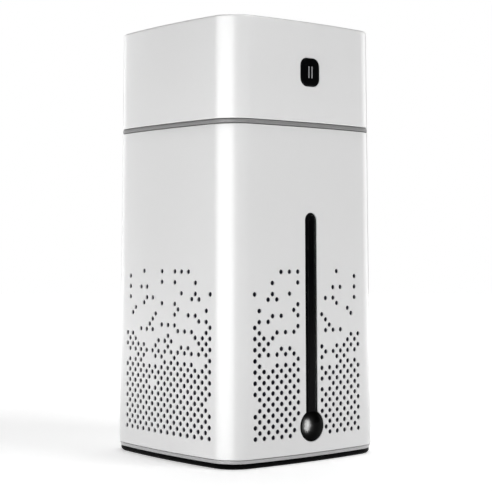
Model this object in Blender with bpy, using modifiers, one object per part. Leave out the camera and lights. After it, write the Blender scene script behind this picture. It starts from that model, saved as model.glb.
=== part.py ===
"""A square cool mist humidifier: a water tank in a lower housing, and a lift-off head that sprays.

The body is a tower with bowed sides, round corners and a slight draft. A wick tube hangs from the
head into the tank and feeds water to a vibrating disc, and the mist leaves through the top.
The front faces -Y, up is +Z, and the origin is under the middle of the tower, on the floor.
Every length is in millimetres here, and the helpers turn it into Blender's metres.
"""

import math

import bmesh
import bpy
from mathutils import Matrix, Vector

MM = 0.001

# The tower's outer form
HALF_WIDTH = 56.2         # middle of a side, measured at the floor
DRAFT = 0.0089            # how much the half width shrinks per millimetre of height
CORNER_RADIUS = 15.5
BOW_RADIUS = 380.0
HEIGHT = 232.0
TOP_EDGE = 1.2            # rounding of the top edge
WALL = 2.2
GAP = 0.3                 # between pieces that touch or slide
SIDE_STEPS = 4
CORNER_STEPS = 5
ROUND_STEPS = 20

# Levels, from the floor up
TRAY_BOTTOM = 0.6
SKIRT_BOTTOM = 3.35
LOWER_BOTTOM = 5.0
TANK_BOTTOM = 12.0
TANK_TOP = 172.0
LOWER_TOP = 176.25
SEAM_BOTTOM = 176.55
HEAD_BOTTOM = 179.0
BOARD_BOTTOM = 201.0

# Tank
TANK_INSET = 3.8
TANK_WALL = 1.6
TANK_FLANGE = 2.0
TANK_FLANGE_INSET = 1.4
REBATE_INSET = 1.1

# Level window, shaped like a thermometer
STRIP_HALF = 4.0
STRIP_TOP = 131.3
BULB_RADIUS = 8.15
BULB_Z = 19.2
WINDOW_FLANGE = 1.8       # how far the flange reaches beyond the opening
WINDOW_PROUD = 0.35

# Button
BUTTON_Z = 205.4
BUTTON_WIDE = 13.1
BUTTON_TALL = 14.8
BUTTON_CORNER = 4.2
BUTTON_PROUD = 0.5
BUTTON_TRAVEL = 0.8
LIGHT_BAR = (1.15, 6.3)   # width and height of each bar
LIGHT_BAR_X = 1.1

# Mist outlet and atomiser
DISH_RADIUS = 29.0
DISH_DEPTH = 3.0
NOZZLE_BORE = 7.0
NOZZLE_OUTER = 8.6
NOZZLE_FLANGE = 13.5
OUTLET_HOLE = 9.2
DISC_Z = 185.9
DISC_RADIUS = 10.4
SEAT_RADIUS = 18.0
SEAT_TOP = 188.0
POCKET_RADIUS = 11.3
CLAMP_SCREW_R = 14.7

# Wick tube
WICK_RADIUS = 4.0
WICK_BOTTOM = 32.0
WICK_TOP = 185.3
TUBE_OUTER = 6.6
TUBE_INNER = 4.9
TUBE_BOTTOM = 19.4
TUBE_TOP = 182.5
CAP_OUTER = 8.6
CAP_BOTTOM = 17.0
LUG_Z = 167.9
LUG_THICK = 2.0
LUG_RADIUS = 14.0
COLLAR_INNER = 14.5
COLLAR_OUTER = 17.0
COLLAR_BOTTOM = 165.8

# Head chassis
PLATE_TOP = 181.2
PLUG_BOTTOM = 160.0
PLUG_INSET = 6.3
PLUG_WALL = 2.0

# Circuit board
BOARD_THICK = 1.6
BOARD_HALF_X = 30.0
BOARD_FRONT = -41.0
BOARD_BACK = 47.5
BOARD_TOP = BOARD_BOTTOM + BOARD_THICK

# Fasteners
BASE_SCREW_XY = 41.0
HEAD_SCREW_XY = 36.5
BOARD_POST = (24.0, 33.0)
FOOT_RADIUS = 6.0

WHITE = ("white_plastic", (0.80, 0.80, 0.80), 0.25, 0.0)
TANK_SMOKY = ("tank_plastic", (0.035, 0.038, 0.055), 0.25, 0.0)
BLACK = ("black_plastic", (0.010, 0.010, 0.011), 0.30, 0.0)
SMOKED = ("smoked_plastic", (0.006, 0.006, 0.007), 0.08, 0.0)
SEAM_GREY = ("grey_plastic", (0.19, 0.19, 0.19), 0.45, 0.0)
SKIRT_GREY = ("light_grey_plastic", (0.42, 0.42, 0.425), 0.45, 0.0)
INNER_WHITE = ("inner_plastic", (0.72, 0.72, 0.70), 0.45, 0.0)
LIGHT_GUIDE = ("light_guide", (0.55, 0.57, 0.60), 0.20, 0.0)
SILICONE = ("silicone", (0.45, 0.47, 0.50), 0.60, 0.0)
RUBBER = ("rubber", (0.02, 0.02, 0.02), 0.80, 0.0)
STEEL = ("steel", (0.62, 0.62, 0.63), 0.30, 1.0)
BRASS = ("brass", (0.70, 0.50, 0.22), 0.30, 1.0)
CERAMIC = ("ceramic", (0.60, 0.57, 0.50), 0.50, 0.0)
BOARD_GREEN = ("circuit_board", (0.02, 0.16, 0.07), 0.40, 0.0)
CHIP_BLACK = ("chip", (0.02, 0.02, 0.022), 0.50, 0.0)
COTTON = ("cotton", (0.82, 0.80, 0.74), 0.95, 0.0)
RED_WIRE = ("red_wire", (0.50, 0.02, 0.02), 0.45, 0.0)


# ---------------------------------------------------------------- scene and materials

def clear_scene():
    for old in list(bpy.data.objects):
        bpy.data.objects.remove(old, do_unlink=True)


def new_collection(name):
    collection = bpy.data.collections.new(name)
    bpy.context.scene.collection.children.link(collection)
    return collection


def material(finish):
    """The Principled material of a finish: its name, colour, roughness and metallic value."""
    name, colour, roughness, metallic = finish
    made = bpy.data.materials.get(name)
    if made is None:
        made = bpy.data.materials.new(name)
        made.use_nodes = True
        shader = made.node_tree.nodes["Principled BSDF"]
        shader.inputs["Base Color"].default_value = (*colour, 1.0)
        shader.inputs["Roughness"].default_value = roughness
        shader.inputs["Metallic"].default_value = metallic
        made.diffuse_color = (*colour, 1.0)
    return made


def place(name, data, finish, parent=None):
    """A new object for the data, in the part's collection, or in the cutters' where it has no finish."""
    obj = bpy.data.objects.new(name, data)
    if finish is None:
        CUTTERS.objects.link(obj)
        obj.hide_render = True
        obj.display_type = "WIRE"
    else:
        PART.objects.link(obj)
        if not data.materials:
            data.materials.append(material(finish))
    if parent is not None:
        obj.parent = parent
    return obj


def group(name, at=(0, 0, 0), parent=None):
    """An empty that carries the pieces of one sub-assembly."""
    empty = bpy.data.objects.new(name, None)
    empty.location = Vector(at) * MM
    PART.objects.link(empty)
    if parent is not None:
        empty.parent = parent
    return empty


def combine(target, other, operation="DIFFERENCE"):
    modifier = target.modifiers.new(other.name, "BOOLEAN")
    modifier.operation = operation
    modifier.solver = "EXACT"
    modifier.object = other


def join(target, *others):
    for other in others:
        combine(target, other, "UNION")


def mesh_from(bm, name):
    bmesh.ops.recalc_face_normals(bm, faces=bm.faces)
    mesh = bpy.data.meshes.new(name)
    bm.to_mesh(mesh)
    bm.free()
    mesh.shade_smooth()
    mesh.set_sharp_from_angle(angle=math.radians(30))
    return mesh


# ---------------------------------------------------------------- shapes

def half_width(z):
    return HALF_WIDTH - DRAFT * z


def tower_outline(inset, z):
    """The tower's outline at a height, moved inwards: bowed sides joined by round corners."""
    reach = half_width(z) - CORNER_RADIUS
    centre = BOW_RADIUS * (math.sqrt(1 + 2 * reach / BOW_RADIUS) - 1)
    radius = CORNER_RADIUS - inset
    turn = math.atan2(centre, BOW_RADIUS)
    quarter = []
    for i in range(SIDE_STEPS):
        across = centre * (2 * i / SIDE_STEPS - 1)
        tilt = math.atan2(across, BOW_RADIUS)
        depth = reach - across ** 2 / (2 * BOW_RADIUS)
        quarter.append((across + radius * math.sin(tilt), -depth - radius * math.cos(tilt)))
    for i in range(CORNER_STEPS):
        angle = turn + (math.pi / 2 - 2 * turn) * i / CORNER_STEPS
        quarter.append((centre + radius * math.sin(angle), -centre - radius * math.cos(angle)))
    outline = []
    for k in range(4):
        spin = Matrix.Rotation(k * math.pi / 2, 2)
        outline += [spin @ Vector(point) for point in quarter]
    return outline


def tower_loft(name, profile, finish, parent=None, ring=False):
    """A solid that follows the tower's outline through (inset, height) points.

    A ring's profile closes on itself. Any other profile is capped at both ends.
    """
    bm = bmesh.new()
    loops = [[bm.verts.new((x * MM, y * MM, z * MM)) for x, y in tower_outline(inset, z)]
             for inset, z in profile]
    following = loops[1:] + loops[:1] if ring else loops[1:]
    for lower, upper in zip(loops, following):
        for i in range(len(lower)):
            bm.faces.new((lower[i - 1], lower[i], upper[i], upper[i - 1]))
    if not ring:
        bm.faces.new(loops[0])
        bm.faces.new(loops[-1])
    return place(name, mesh_from(bm, name), finish, parent)


def turned(name, profile, finish, parent=None, at=(0, 0, 0), ring=False, steps=ROUND_STEPS):
    """A turned solid about +Z: (radius, height) points running down its outer side."""
    bm = bmesh.new()
    verts = [bm.verts.new((r * MM, 0, z * MM)) for r, z in profile]
    for pair in zip(verts, verts[1:]):
        bm.edges.new(pair)
    if ring:
        bm.edges.new((verts[-1], verts[0]))
    mesh = bpy.data.meshes.new(name)
    bm.to_mesh(mesh)
    bm.free()
    obj = place(name, mesh, finish, parent)
    screw = obj.modifiers.new("Turn", "SCREW")
    screw.steps = screw.render_steps = steps
    screw.use_merge_vertices = True
    screw.merge_threshold = 0.00001
    screw.use_smooth_shade = True
    obj.location = Vector(at) * MM
    return obj


def ring(name, inner, outer, z_low, z_high, finish, parent=None, at=(0, 0, 0), steps=ROUND_STEPS):
    profile = [(outer, z_high), (outer, z_low), (inner, z_low), (inner, z_high)]
    return turned(name, profile, finish, parent, at, ring=True, steps=steps)


def rod(name, radius, z_low, z_high, finish=None, parent=None, at=(0, 0, 0), steps=ROUND_STEPS):
    """A cylinder along Z."""
    bm = bmesh.new()
    lift = Matrix.Translation((0, 0, (z_low + z_high) / 2 * MM))
    bmesh.ops.create_cone(bm, cap_ends=True, segments=steps, radius1=radius * MM,
                          radius2=radius * MM, depth=(z_high - z_low) * MM, matrix=lift)
    obj = place(name, mesh_from(bm, name), finish, parent)
    obj.location = Vector(at) * MM
    return obj


def block(name, low, high, finish=None, parent=None, bevel=0.0, turn=0.0):
    """A box between two corners, turned about its own middle, with rounded edges where asked."""
    low, high = Vector(low), Vector(high)
    bm = bmesh.new()
    bmesh.ops.create_cube(bm, size=1.0, matrix=Matrix.Diagonal(((high - low) * MM).to_4d()))
    obj = place(name, mesh_from(bm, name), finish, parent)
    obj.location = (low + high) / 2 * MM
    obj.rotation_euler.z = turn
    if bevel:
        rounding = obj.modifiers.new("Edges", "BEVEL")
        rounding.width = bevel * MM
        rounding.segments = 2
        rounding.limit_method = "ANGLE"
    return obj


def slab(name, points, y_front, y_back, finish=None, parent=None, lean=0.0):
    """A flat outline in X and Z, given thickness along Y, that may lean with the drafted wall."""
    curve = bpy.data.curves.new(name, "CURVE")
    curve.dimensions = "2D"
    curve.fill_mode = "BOTH"
    curve.extrude = (y_back - y_front) / 2 * MM
    spline = curve.splines.new("POLY")
    spline.points.add(len(points) - 1)
    for target, (x, z) in zip(spline.points, points):
        target.co = (x * MM, z * MM, 0, 1)
    spline.use_cyclic_u = True
    source = bpy.data.objects.new(name, curve)
    PART.objects.link(source)
    bpy.context.view_layer.update()
    graph = bpy.context.evaluated_depsgraph_get()
    mesh = bpy.data.meshes.new_from_object(source.evaluated_get(graph))
    bpy.data.objects.remove(source)
    bpy.data.curves.remove(curve)
    bm = bmesh.new()
    bm.from_mesh(mesh)
    bmesh.ops.remove_doubles(bm, verts=bm.verts, dist=0.01 * MM)
    bpy.data.meshes.remove(mesh)
    obj = place(name, mesh_from(bm, name), finish, parent)
    obj.rotation_euler.x = math.pi / 2 + lean
    obj.location.y = (y_front + y_back) / 2 * MM
    return obj


def rounded_rectangle(wide, tall, corner, centre_z, steps=5):
    points = []
    for k, (sx, sz) in enumerate(((1, 1), (-1, 1), (-1, -1), (1, -1))):
        for i in range(steps + 1):
            angle = math.pi / 2 * (k + i / steps)
            points.append((sx * (wide / 2 - corner) + corner * math.cos(angle),
                           centre_z + sz * (tall / 2 - corner) + corner * math.sin(angle)))
    return points


def thermometer(grow, strip_steps=8, bulb_steps=20):
    """A round-ended strip standing on a round bulb, grown outwards by a margin."""
    half, bulb = STRIP_HALF + grow, BULB_RADIUS + grow
    strip_end = STRIP_TOP - STRIP_HALF
    neck = math.asin(half / bulb)
    points = []
    for i in range(strip_steps + 1):
        angle = math.pi * i / strip_steps
        points.append((half * math.cos(angle), strip_end + half * math.sin(angle)))
    for i in range(bulb_steps + 1):
        angle = math.pi / 2 + neck + (2 * math.pi - 2 * neck) * i / bulb_steps
        points.append((bulb * math.cos(angle), BULB_Z + bulb * math.sin(angle)))
    return points


def wire(name, points, radius, finish, parent=None):
    """A round wire through the points."""
    curve = bpy.data.curves.new(name, "CURVE")
    curve.dimensions = "3D"
    curve.bevel_depth = radius * MM
    curve.bevel_resolution = 2
    curve.use_fill_caps = True
    spline = curve.splines.new("POLY")
    spline.points.add(len(points) - 1)
    for target, point in zip(spline.points, points):
        target.co = (*(Vector(point) * MM), 1)
    return place(name, curve, finish, parent)


def smooth_path(points, steps):
    """Points along a Catmull-Rom curve through the given ones."""
    ends = [points[0], *points, points[-1]]
    path = []
    for a, b, c, d in zip(ends, ends[1:], ends[2:], ends[3:]):
        a, b, c, d = (Vector(p) for p in (a, b, c, d))
        for i in range(steps):
            t = i / steps
            path.append(0.5 * (2 * b + (c - a) * t + (2 * a - 5 * b + 4 * c - d) * t ** 2
                               + (3 * b - a - 3 * c + d) * t ** 3))
    return [*path, Vector(points[-1])]


def corners(distance):
    """The four places at one distance from both middle planes, with a name for each."""
    return [(f"{fb}_{lr}", sx * distance, sy * distance)
            for fb, sy in (("front", -1), ("back", 1)) for lr, sx in (("left", -1), ("right", 1))]


def pan_screw(name, at, length, head, shank, parent, down=True):
    """A screw whose head is at `at`: its shank points down, or up."""
    thick = head * 0.6
    profile = [(0, thick), (head * 0.7, thick), (head, thick * 0.4), (head, 0), (shank, 0),
               (shank, -length + shank), (0, -length)]
    screw = turned(name, profile, STEEL, parent, at, steps=10)
    if not down:
        screw.rotation_euler.x = math.pi
    return screw


# ---------------------------------------------------------------- lower part

def make_base(parent):
    """The black tray, its grey skirt, the screws that hold it and the feet that hide them."""
    rim = WALL + 0.7
    tray = tower_loft("base_tray", [
        (2.2, TRAY_BOTTOM), (1.1, TRAY_BOTTOM + 0.9), (1.0, SKIRT_BOTTOM - 0.2),
        (rim, SKIRT_BOTTOM - 0.2), (rim, 9.0), (rim + 2.0, 9.0), (rim + 2.0, SKIRT_BOTTOM),
    ], BLACK, parent)
    tower_loft("base_skirt_ring", [
        (0.45, SKIRT_BOTTOM), (0.35, LOWER_BOTTOM - 0.25),
        (rim - GAP, LOWER_BOTTOM - 0.25), (rim - GAP, SKIRT_BOTTOM),
    ], SKIRT_GREY, parent, ring=True)
    for place_name, x, y in corners(BASE_SCREW_XY):
        join(tray, rod(f"tray_boss_{place_name}", 6.6, SKIRT_BOTTOM - 0.5, 5.4, at=(x, y, 0), steps=16))
    for place_name, x, y in corners(BASE_SCREW_XY):
        combine(tray, rod(f"foot_recess_{place_name}", FOOT_RADIUS + GAP, -1, 1.7, at=(x, y, 0), steps=16))
        combine(tray, rod(f"head_recess_{place_name}", 3.3, -1, 4.1, at=(x, y, 0), steps=12))
        combine(tray, rod(f"tray_hole_{place_name}", 1.8, -1, 8, at=(x, y, 0), steps=12))
        turned(f"foot_{place_name}", [(0, 1.4), (FOOT_RADIUS, 1.4), (FOOT_RADIUS, 0.5),
                                      (FOOT_RADIUS - 0.5, 0), (0, 0)],
               RUBBER, parent, (x, y, 0), steps=16)
        pan_screw(f"base_screw_{place_name}", (x, y, 3.9), 7.0, 2.8, 1.4, parent, down=False)


def make_lower_housing(parent):
    """The outer shell of the tank, with the window opening and four screw posts in its foot."""
    housing = tower_loft("lower_housing", [
        (0.3, LOWER_BOTTOM), (0.0, LOWER_BOTTOM + 0.5), (0.0, LOWER_TOP - 0.3), (0.2, LOWER_TOP),
        (REBATE_INSET, LOWER_TOP), (REBATE_INSET, TANK_TOP - TANK_FLANGE - GAP),
        (WALL, TANK_TOP - TANK_FLANGE - GAP), (WALL, LOWER_BOTTOM),
    ], WHITE, parent, ring=True)
    for place_name, x, y in corners(BASE_SCREW_XY):
        out = Vector((x, y, 0)).normalized() * 5.8
        middle = Vector((x, y, 10.4)) + out
        web = block(f"post_web_{place_name}", middle - Vector((5.2, 1.5, 1.0)),
                    middle + Vector((5.2, 1.5, 1.0)), turn=math.atan2(y, x))
        post = rod(f"screw_post_{place_name}", 3.6, 5.7, 11.7, at=(x, y, 0), steps=16)
        join(housing, web, post)
    for place_name, x, y in corners(BASE_SCREW_XY):
        combine(housing, rod(f"pilot_{place_name}", 1.7, 4, 11.2, at=(x, y, 0), steps=12))
    opening = slab("window_opening", thermometer(0.15), -80, -40)
    combine(housing, opening)


def make_window(parent):
    """The smoked level window: a thermometer-shaped lens with a domed bulb, on a wider flange."""
    lean = -math.atan(DRAFT)
    front = half_width(0) + WINDOW_PROUD
    back = half_width(0) - WALL - 0.3
    lens = slab("level_window", thermometer(0.0), -front, -back + 0.5, SMOKED, parent, lean)
    flange = slab("window_flange", thermometer(WINDOW_FLANGE), -back, -back + 0.9, lean=lean)
    join(lens, flange)
    dome_rise, dome_radius = 1.7, BULB_RADIUS - 0.5
    sphere = (dome_radius ** 2 + dome_rise ** 2) / (2 * dome_rise)
    dome = turned("bulb_dome", [
        (0, dome_rise),
        *((dome_radius * k / 4,
           math.sqrt(sphere ** 2 - (dome_radius * k / 4) ** 2) - sphere + dome_rise) for k in (1, 2, 3, 4)),
        (dome_radius, -1.0), (0, -1.0)], None, at=(0, -half_width(BULB_Z) - WINDOW_PROUD, BULB_Z))
    dome.rotation_euler.x = math.pi / 2 + lean
    join(lens, dome)


def make_tank(parent):
    """The water tank: an open cup whose flange hangs in the rebate of the lower housing."""
    inner = TANK_INSET + TANK_WALL
    tower_loft("water_tank", [
        (TANK_INSET + 2.0, TANK_BOTTOM), (TANK_INSET, TANK_BOTTOM + 2.0),
        (TANK_INSET, TANK_TOP - TANK_FLANGE), (TANK_FLANGE_INSET, TANK_TOP - TANK_FLANGE),
        (TANK_FLANGE_INSET, TANK_TOP), (inner, TANK_TOP), (inner, TANK_BOTTOM + 3.6),
        (inner + 2.0, TANK_BOTTOM + TANK_WALL + 0.2),
    ], TANK_SMOKY, parent)


# ---------------------------------------------------------------- head

def make_head_housing(parent):
    """The head's outer shell: dished top with the mist hole, button hole, inlet and screw posts."""
    housing = tower_loft("head_housing", [
        (WALL, HEIGHT - WALL), (WALL, HEAD_BOTTOM),
        (0.2, HEAD_BOTTOM), (0.0, HEAD_BOTTOM + 0.3), (0.0, HEIGHT - TOP_EDGE),
        (TOP_EDGE * 0.3, HEIGHT - TOP_EDGE * 0.3), (TOP_EDGE, HEIGHT),
    ], WHITE, parent)
    inner_dish = turned("dish_backing", [
        (0, HEIGHT - 1), (DISH_RADIUS + 2.2, HEIGHT - 1), (DISH_RADIUS + 2.2, HEIGHT - 3.6),
        (DISH_RADIUS - 6, HEIGHT - DISH_DEPTH - WALL), (0, HEIGHT - DISH_DEPTH - WALL)], None, steps=32)
    join(housing, inner_dish)
    for place_name, x, y in corners(HEAD_SCREW_XY):
        join(housing, rod(f"head_post_{place_name}", 3.6, PLATE_TOP + GAP, HEIGHT - 1.5,
                          at=(x, y, 0), steps=12))
    dish = turned("dish", [
        (0, HEIGHT + 1), (DISH_RADIUS + 1.0, HEIGHT + 1), (DISH_RADIUS, HEIGHT),
        (DISH_RADIUS - 3.0, HEIGHT - DISH_DEPTH * 0.75), (DISH_RADIUS - 9.0, HEIGHT - DISH_DEPTH),
        (0, HEIGHT - DISH_DEPTH)], None, steps=32)
    combine(housing, dish)
    combine(housing, rod("outlet_hole", OUTLET_HOLE, HEIGHT - 12, HEIGHT + 5))
    for place_name, x, y in corners(HEAD_SCREW_XY):
        combine(housing, rod(f"head_pilot_{place_name}", 1.7, 170, 197, at=(x, y, 0), steps=12))
    combine(housing, slab("button_opening",
                          rounded_rectangle(BUTTON_WIDE + 0.4, BUTTON_TALL + 0.4,
                                            BUTTON_CORNER + 0.2, BUTTON_Z), -60, -45))
    combine(housing, slab("inlet_opening",
                          rounded_rectangle(12.4, 6.8, 2.2, BOARD_TOP + 1.75, 3), 45, 60))


def make_seam_ring(parent):
    """The grey band between the head and the lower housing."""
    tower_loft("seam_ring", [
        (0.05, SEAM_BOTTOM), (0.05, HEAD_BOTTOM - 0.25),
        (PLUG_INSET - GAP, HEAD_BOTTOM - 0.25), (PLUG_INSET - GAP, SEAM_BOTTOM),
    ], SEAM_GREY, parent, ring=True)


def make_chassis(parent):
    """The head's floor: plate, plug for the tank's mouth, atomiser seat, wick collar and posts."""
    plug_inner = PLUG_INSET + PLUG_WALL
    chassis = tower_loft("head_chassis", [
        (WALL + GAP, PLATE_TOP), (WALL + GAP, HEAD_BOTTOM + 0.1), (PLUG_INSET, HEAD_BOTTOM + 0.1),
        (PLUG_INSET, 169.4), (PLUG_INSET + 1.0, 169.4), (PLUG_INSET + 1.0, 165.6),
        (PLUG_INSET, 165.6), (PLUG_INSET + 0.2, PLUG_BOTTOM), (plug_inner, PLUG_BOTTOM),
        (plug_inner, HEAD_BOTTOM + 0.1)], INNER_WHITE, parent)
    tower_loft("tank_gasket", [
        (PLUG_INSET + 0.7, 165.9), (PLUG_INSET - 0.1, 166.1), (PLUG_INSET - 0.55, 167.0),
        (PLUG_INSET - 0.55, 168.0), (PLUG_INSET - 0.1, 168.9), (PLUG_INSET + 0.7, 169.1)], SILICONE, parent, ring=True)
    join(chassis, rod("atomiser_seat", SEAT_RADIUS, PLATE_TOP - 1, SEAT_TOP, steps=32),
         ring("wick_collar", COLLAR_INNER, COLLAR_OUTER, COLLAR_BOTTOM, HEAD_BOTTOM + 1, None))
    for side, start in (("left", 150), ("right", -30)):
        join(chassis, sector(f"collar_hook_{side}", 12.0, COLLAR_INNER + 1, COLLAR_BOTTOM + 0.2,
                             LUG_Z - GAP, start, start + 60))
    for place_name, x, y in board_posts():
        join(chassis, rod(f"board_post_{place_name}", 3.0, PLATE_TOP - 1, BOARD_BOTTOM - GAP,
                          at=(x, y, 0), steps=12))
    combine(chassis, rod("wick_bore", TUBE_OUTER + 0.4, 175, 190))
    combine(chassis, rod("disc_pocket", POCKET_RADIUS, SEAT_TOP - 4.0, SEAT_TOP + 2))
    for side, x in (("left", -CLAMP_SCREW_R), ("right", CLAMP_SCREW_R)):
        combine(chassis, rod(f"clamp_pilot_{side}", 1.5, 182.0, 190, at=(0, x, 0), steps=12))
        combine(chassis, rod(f"light_hole_{side}", 4.3, 175, 185, at=(math.copysign(26, x), 0, 0)))
    for place_name, x, y in board_posts():
        combine(chassis, rod(f"board_pilot_{place_name}", 1.4, 192, 203, at=(x, y, 0), steps=12))
    for place_name, x, y in corners(HEAD_SCREW_XY):
        combine(chassis, rod(f"plate_hole_{place_name}", 1.9, 175, 185, at=(x, y, 0), steps=12))
        pan_screw(f"head_screw_{place_name}", (x, y, HEAD_BOTTOM - 0.2), 14.0, 3.0, 1.5,
                  parent, down=False)


def sector(name, inner, outer, z_low, z_high, start, end, finish=None, parent=None):
    """A piece of a flat ring between two angles in degrees."""
    steps = 6
    angles = [math.radians(start + (end - start) * i / steps) for i in range(steps + 1)]
    edge = [(outer * math.cos(a), outer * math.sin(a)) for a in angles]
    edge += [(inner * math.cos(a), inner * math.sin(a)) for a in reversed(angles)]
    bm = bmesh.new()
    verts = [bm.verts.new((x * MM, y * MM, z_low * MM)) for x, y in edge]
    face = bm.faces.new(verts)
    grown = bmesh.ops.extrude_face_region(bm, geom=[face])["geom"]
    lifted = [g for g in grown if isinstance(g, bmesh.types.BMVert)]
    bmesh.ops.translate(bm, verts=lifted, vec=(0, 0, (z_high - z_low) * MM))
    return place(name, mesh_from(bm, name), finish, parent)


def board_posts():
    """The four posts under the circuit board, with a name for each."""
    x, y = BOARD_POST
    return [(f"{fb}_{lr}", sx * x, sy * y)
            for fb, sy in (("front", -1), ("back", 1)) for lr, sx in (("left", -1), ("right", 1))]


def make_atomiser(parent):
    """The vibrating disc between two washers, under a clamp ring and two screws."""
    low = SEAT_TOP - 4.0 + 0.2
    ring("lower_washer", 7.2, POCKET_RADIUS - 0.3, low, DISC_Z - 0.2, SILICONE, parent)
    turned("atomiser_disc", [
        (0, DISC_Z + 0.9), (2.4, DISC_Z + 0.5), (DISC_RADIUS, DISC_Z + 0.5), (DISC_RADIUS, DISC_Z),
        (2.6, DISC_Z), (0, DISC_Z + 0.4)], STEEL, parent)
    ring("piezo_ring", 4.6, 8.0, DISC_Z + 0.7, DISC_Z + 1.4, CERAMIC, parent)
    ring("upper_washer", 8.4, POCKET_RADIUS - 0.3, DISC_Z + 0.7, DISC_Z + 1.9, SILICONE, parent)
    clamp = turned("atomiser_clamp", [
        (9.6, SEAT_TOP + 3.2), (SEAT_RADIUS, SEAT_TOP + 2.6), (SEAT_RADIUS, SEAT_TOP + 0.2),
        (POCKET_RADIUS - 0.4, SEAT_TOP + 0.2), (POCKET_RADIUS - 0.4, SEAT_TOP),
        (8.6, SEAT_TOP), (8.6, SEAT_TOP + 1.2), (7.2, SEAT_TOP + 2.2), (7.2, SEAT_TOP + 3.2)],
        INNER_WHITE, parent, ring=True)
    combine(clamp, block("lead_notch", (6, -2.2, SEAT_TOP - 1), (12.4, 2.2, SEAT_TOP + 5)))
    for side, y in (("front", -CLAMP_SCREW_R), ("back", CLAMP_SCREW_R)):
        combine(clamp, rod(f"clamp_hole_{side}", 1.7, 180, 195, at=(0, y, 0), steps=12))
        pan_screw(f"clamp_screw_{side}", (0, y, SEAT_TOP + 3.3), 7.5, 2.4, 1.2, parent)


def make_nozzle(parent):
    """The mist chimney, from just over the clamp to a flared lip in the dish."""
    seat = HEIGHT - DISH_DEPTH + 0.25
    turned("mist_nozzle", [
        (NOZZLE_FLANGE - 1.5, seat + 2.4), (NOZZLE_FLANGE, seat + 1.2), (NOZZLE_FLANGE, seat),
        (NOZZLE_OUTER, seat), (NOZZLE_OUTER, SEAT_TOP + 3.6), (NOZZLE_BORE, SEAT_TOP + 3.6),
        (NOZZLE_BORE, seat - 1.0), (NOZZLE_BORE + 3.2, seat + 2.4)], INNER_WHITE, parent, ring=True)


def make_board(parent):
    """The circuit board with its parts, its screws and the two leads to the disc."""
    board = block("control_board", (-BOARD_HALF_X, BOARD_FRONT, BOARD_BOTTOM),
                  (BOARD_HALF_X, BOARD_BACK, BOARD_TOP), BOARD_GREEN, parent)
    combine(board, rod("chimney_hole", 13.0, 195, 210))
    for place_name, x, y in board_posts():
        combine(board, rod(f"board_hole_{place_name}", 1.7, 195, 210, at=(x, y, 0), steps=12))
        pan_screw(f"board_screw_{place_name}", (x, y, BOARD_TOP + 0.2), 8.5, 2.5, 1.2, parent)
    on = BOARD_TOP + 0.1
    block("driver_chip", (-20, -27, on), (-14, -17, on + 1.7), CHIP_BLACK, parent)
    turned("inductor", [(0, on + 6), (4, on + 6), (4, on + 4.8), (3, on + 4.2), (3, on + 1.8),
                        (4, on + 1.2), (4, on), (0, on)], CHIP_BLACK, parent, (18, -20, 0), steps=16)
    turned("capacitor", [(0, on + 9), (3.2, on + 9), (3.2, on + 1.6), (2.9, on + 1.2),
                         (3.2, on + 0.8), (3.2, on), (0, on)], STEEL, parent, (17, 22, 0), steps=16)
    for side, x in (("left", -26), ("right", 26)):
        turned(f"night_light_{side}", [(0, BOARD_BOTTOM - 0.1), (2.5, BOARD_BOTTOM - 0.1),
                                       (2.5, BOARD_BOTTOM - 4), (1.5, BOARD_BOTTOM - 6),
                                       (0, BOARD_BOTTOM - 6.4)], LIGHT_GUIDE, parent, (x, 0, 0), steps=12)
        turned(f"light_lens_{side}", [(0, PLATE_TOP + 1.4), (3, PLATE_TOP + 1.2),
                                      (5.4, PLATE_TOP + 1.0), (5.4, PLATE_TOP + 0.2),
                                      (4.0, PLATE_TOP + 0.2), (4.0, HEAD_BOTTOM), (0, HEAD_BOTTOM)],
               LIGHT_GUIDE, parent, (x, 0, 0), steps=16)
    for side, y, finish in (("red", -1.1, RED_WIRE), ("black", 1.1, CHIP_BLACK)):
        route = [(7.2, y * 0.7, DISC_Z + 1.95), (8.6, y, 190.2), (10.6, y, 192.4),
                 (14.8, y * 1.6, 194.4), (17.0, y * 2.0, 197.2), (17.0, y * 2.2, BOARD_BOTTOM - 0.4)]
        wire(f"atomiser_lead_{side}", smooth_path(route, 2), 0.55, finish, parent)


def make_usb_socket(parent):
    """The power inlet on the back edge of the board: a rounded metal shell with a tongue."""
    middle = BOARD_TOP + 0.15 + 1.6
    shell = slab("usb_socket", rounded_rectangle(9.0, 3.2, 1.5, middle, 4), 44.2, 51.6, STEEL, parent)
    combine(shell, slab("usb_mouth", rounded_rectangle(8.4, 2.6, 1.2, middle, 4), 45.6, 55))
    tongue = block("usb_tongue", (-3.3, 45.0, middle - 0.35), (3.3, 50.4, middle + 0.35))
    join(shell, tongue)


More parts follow.
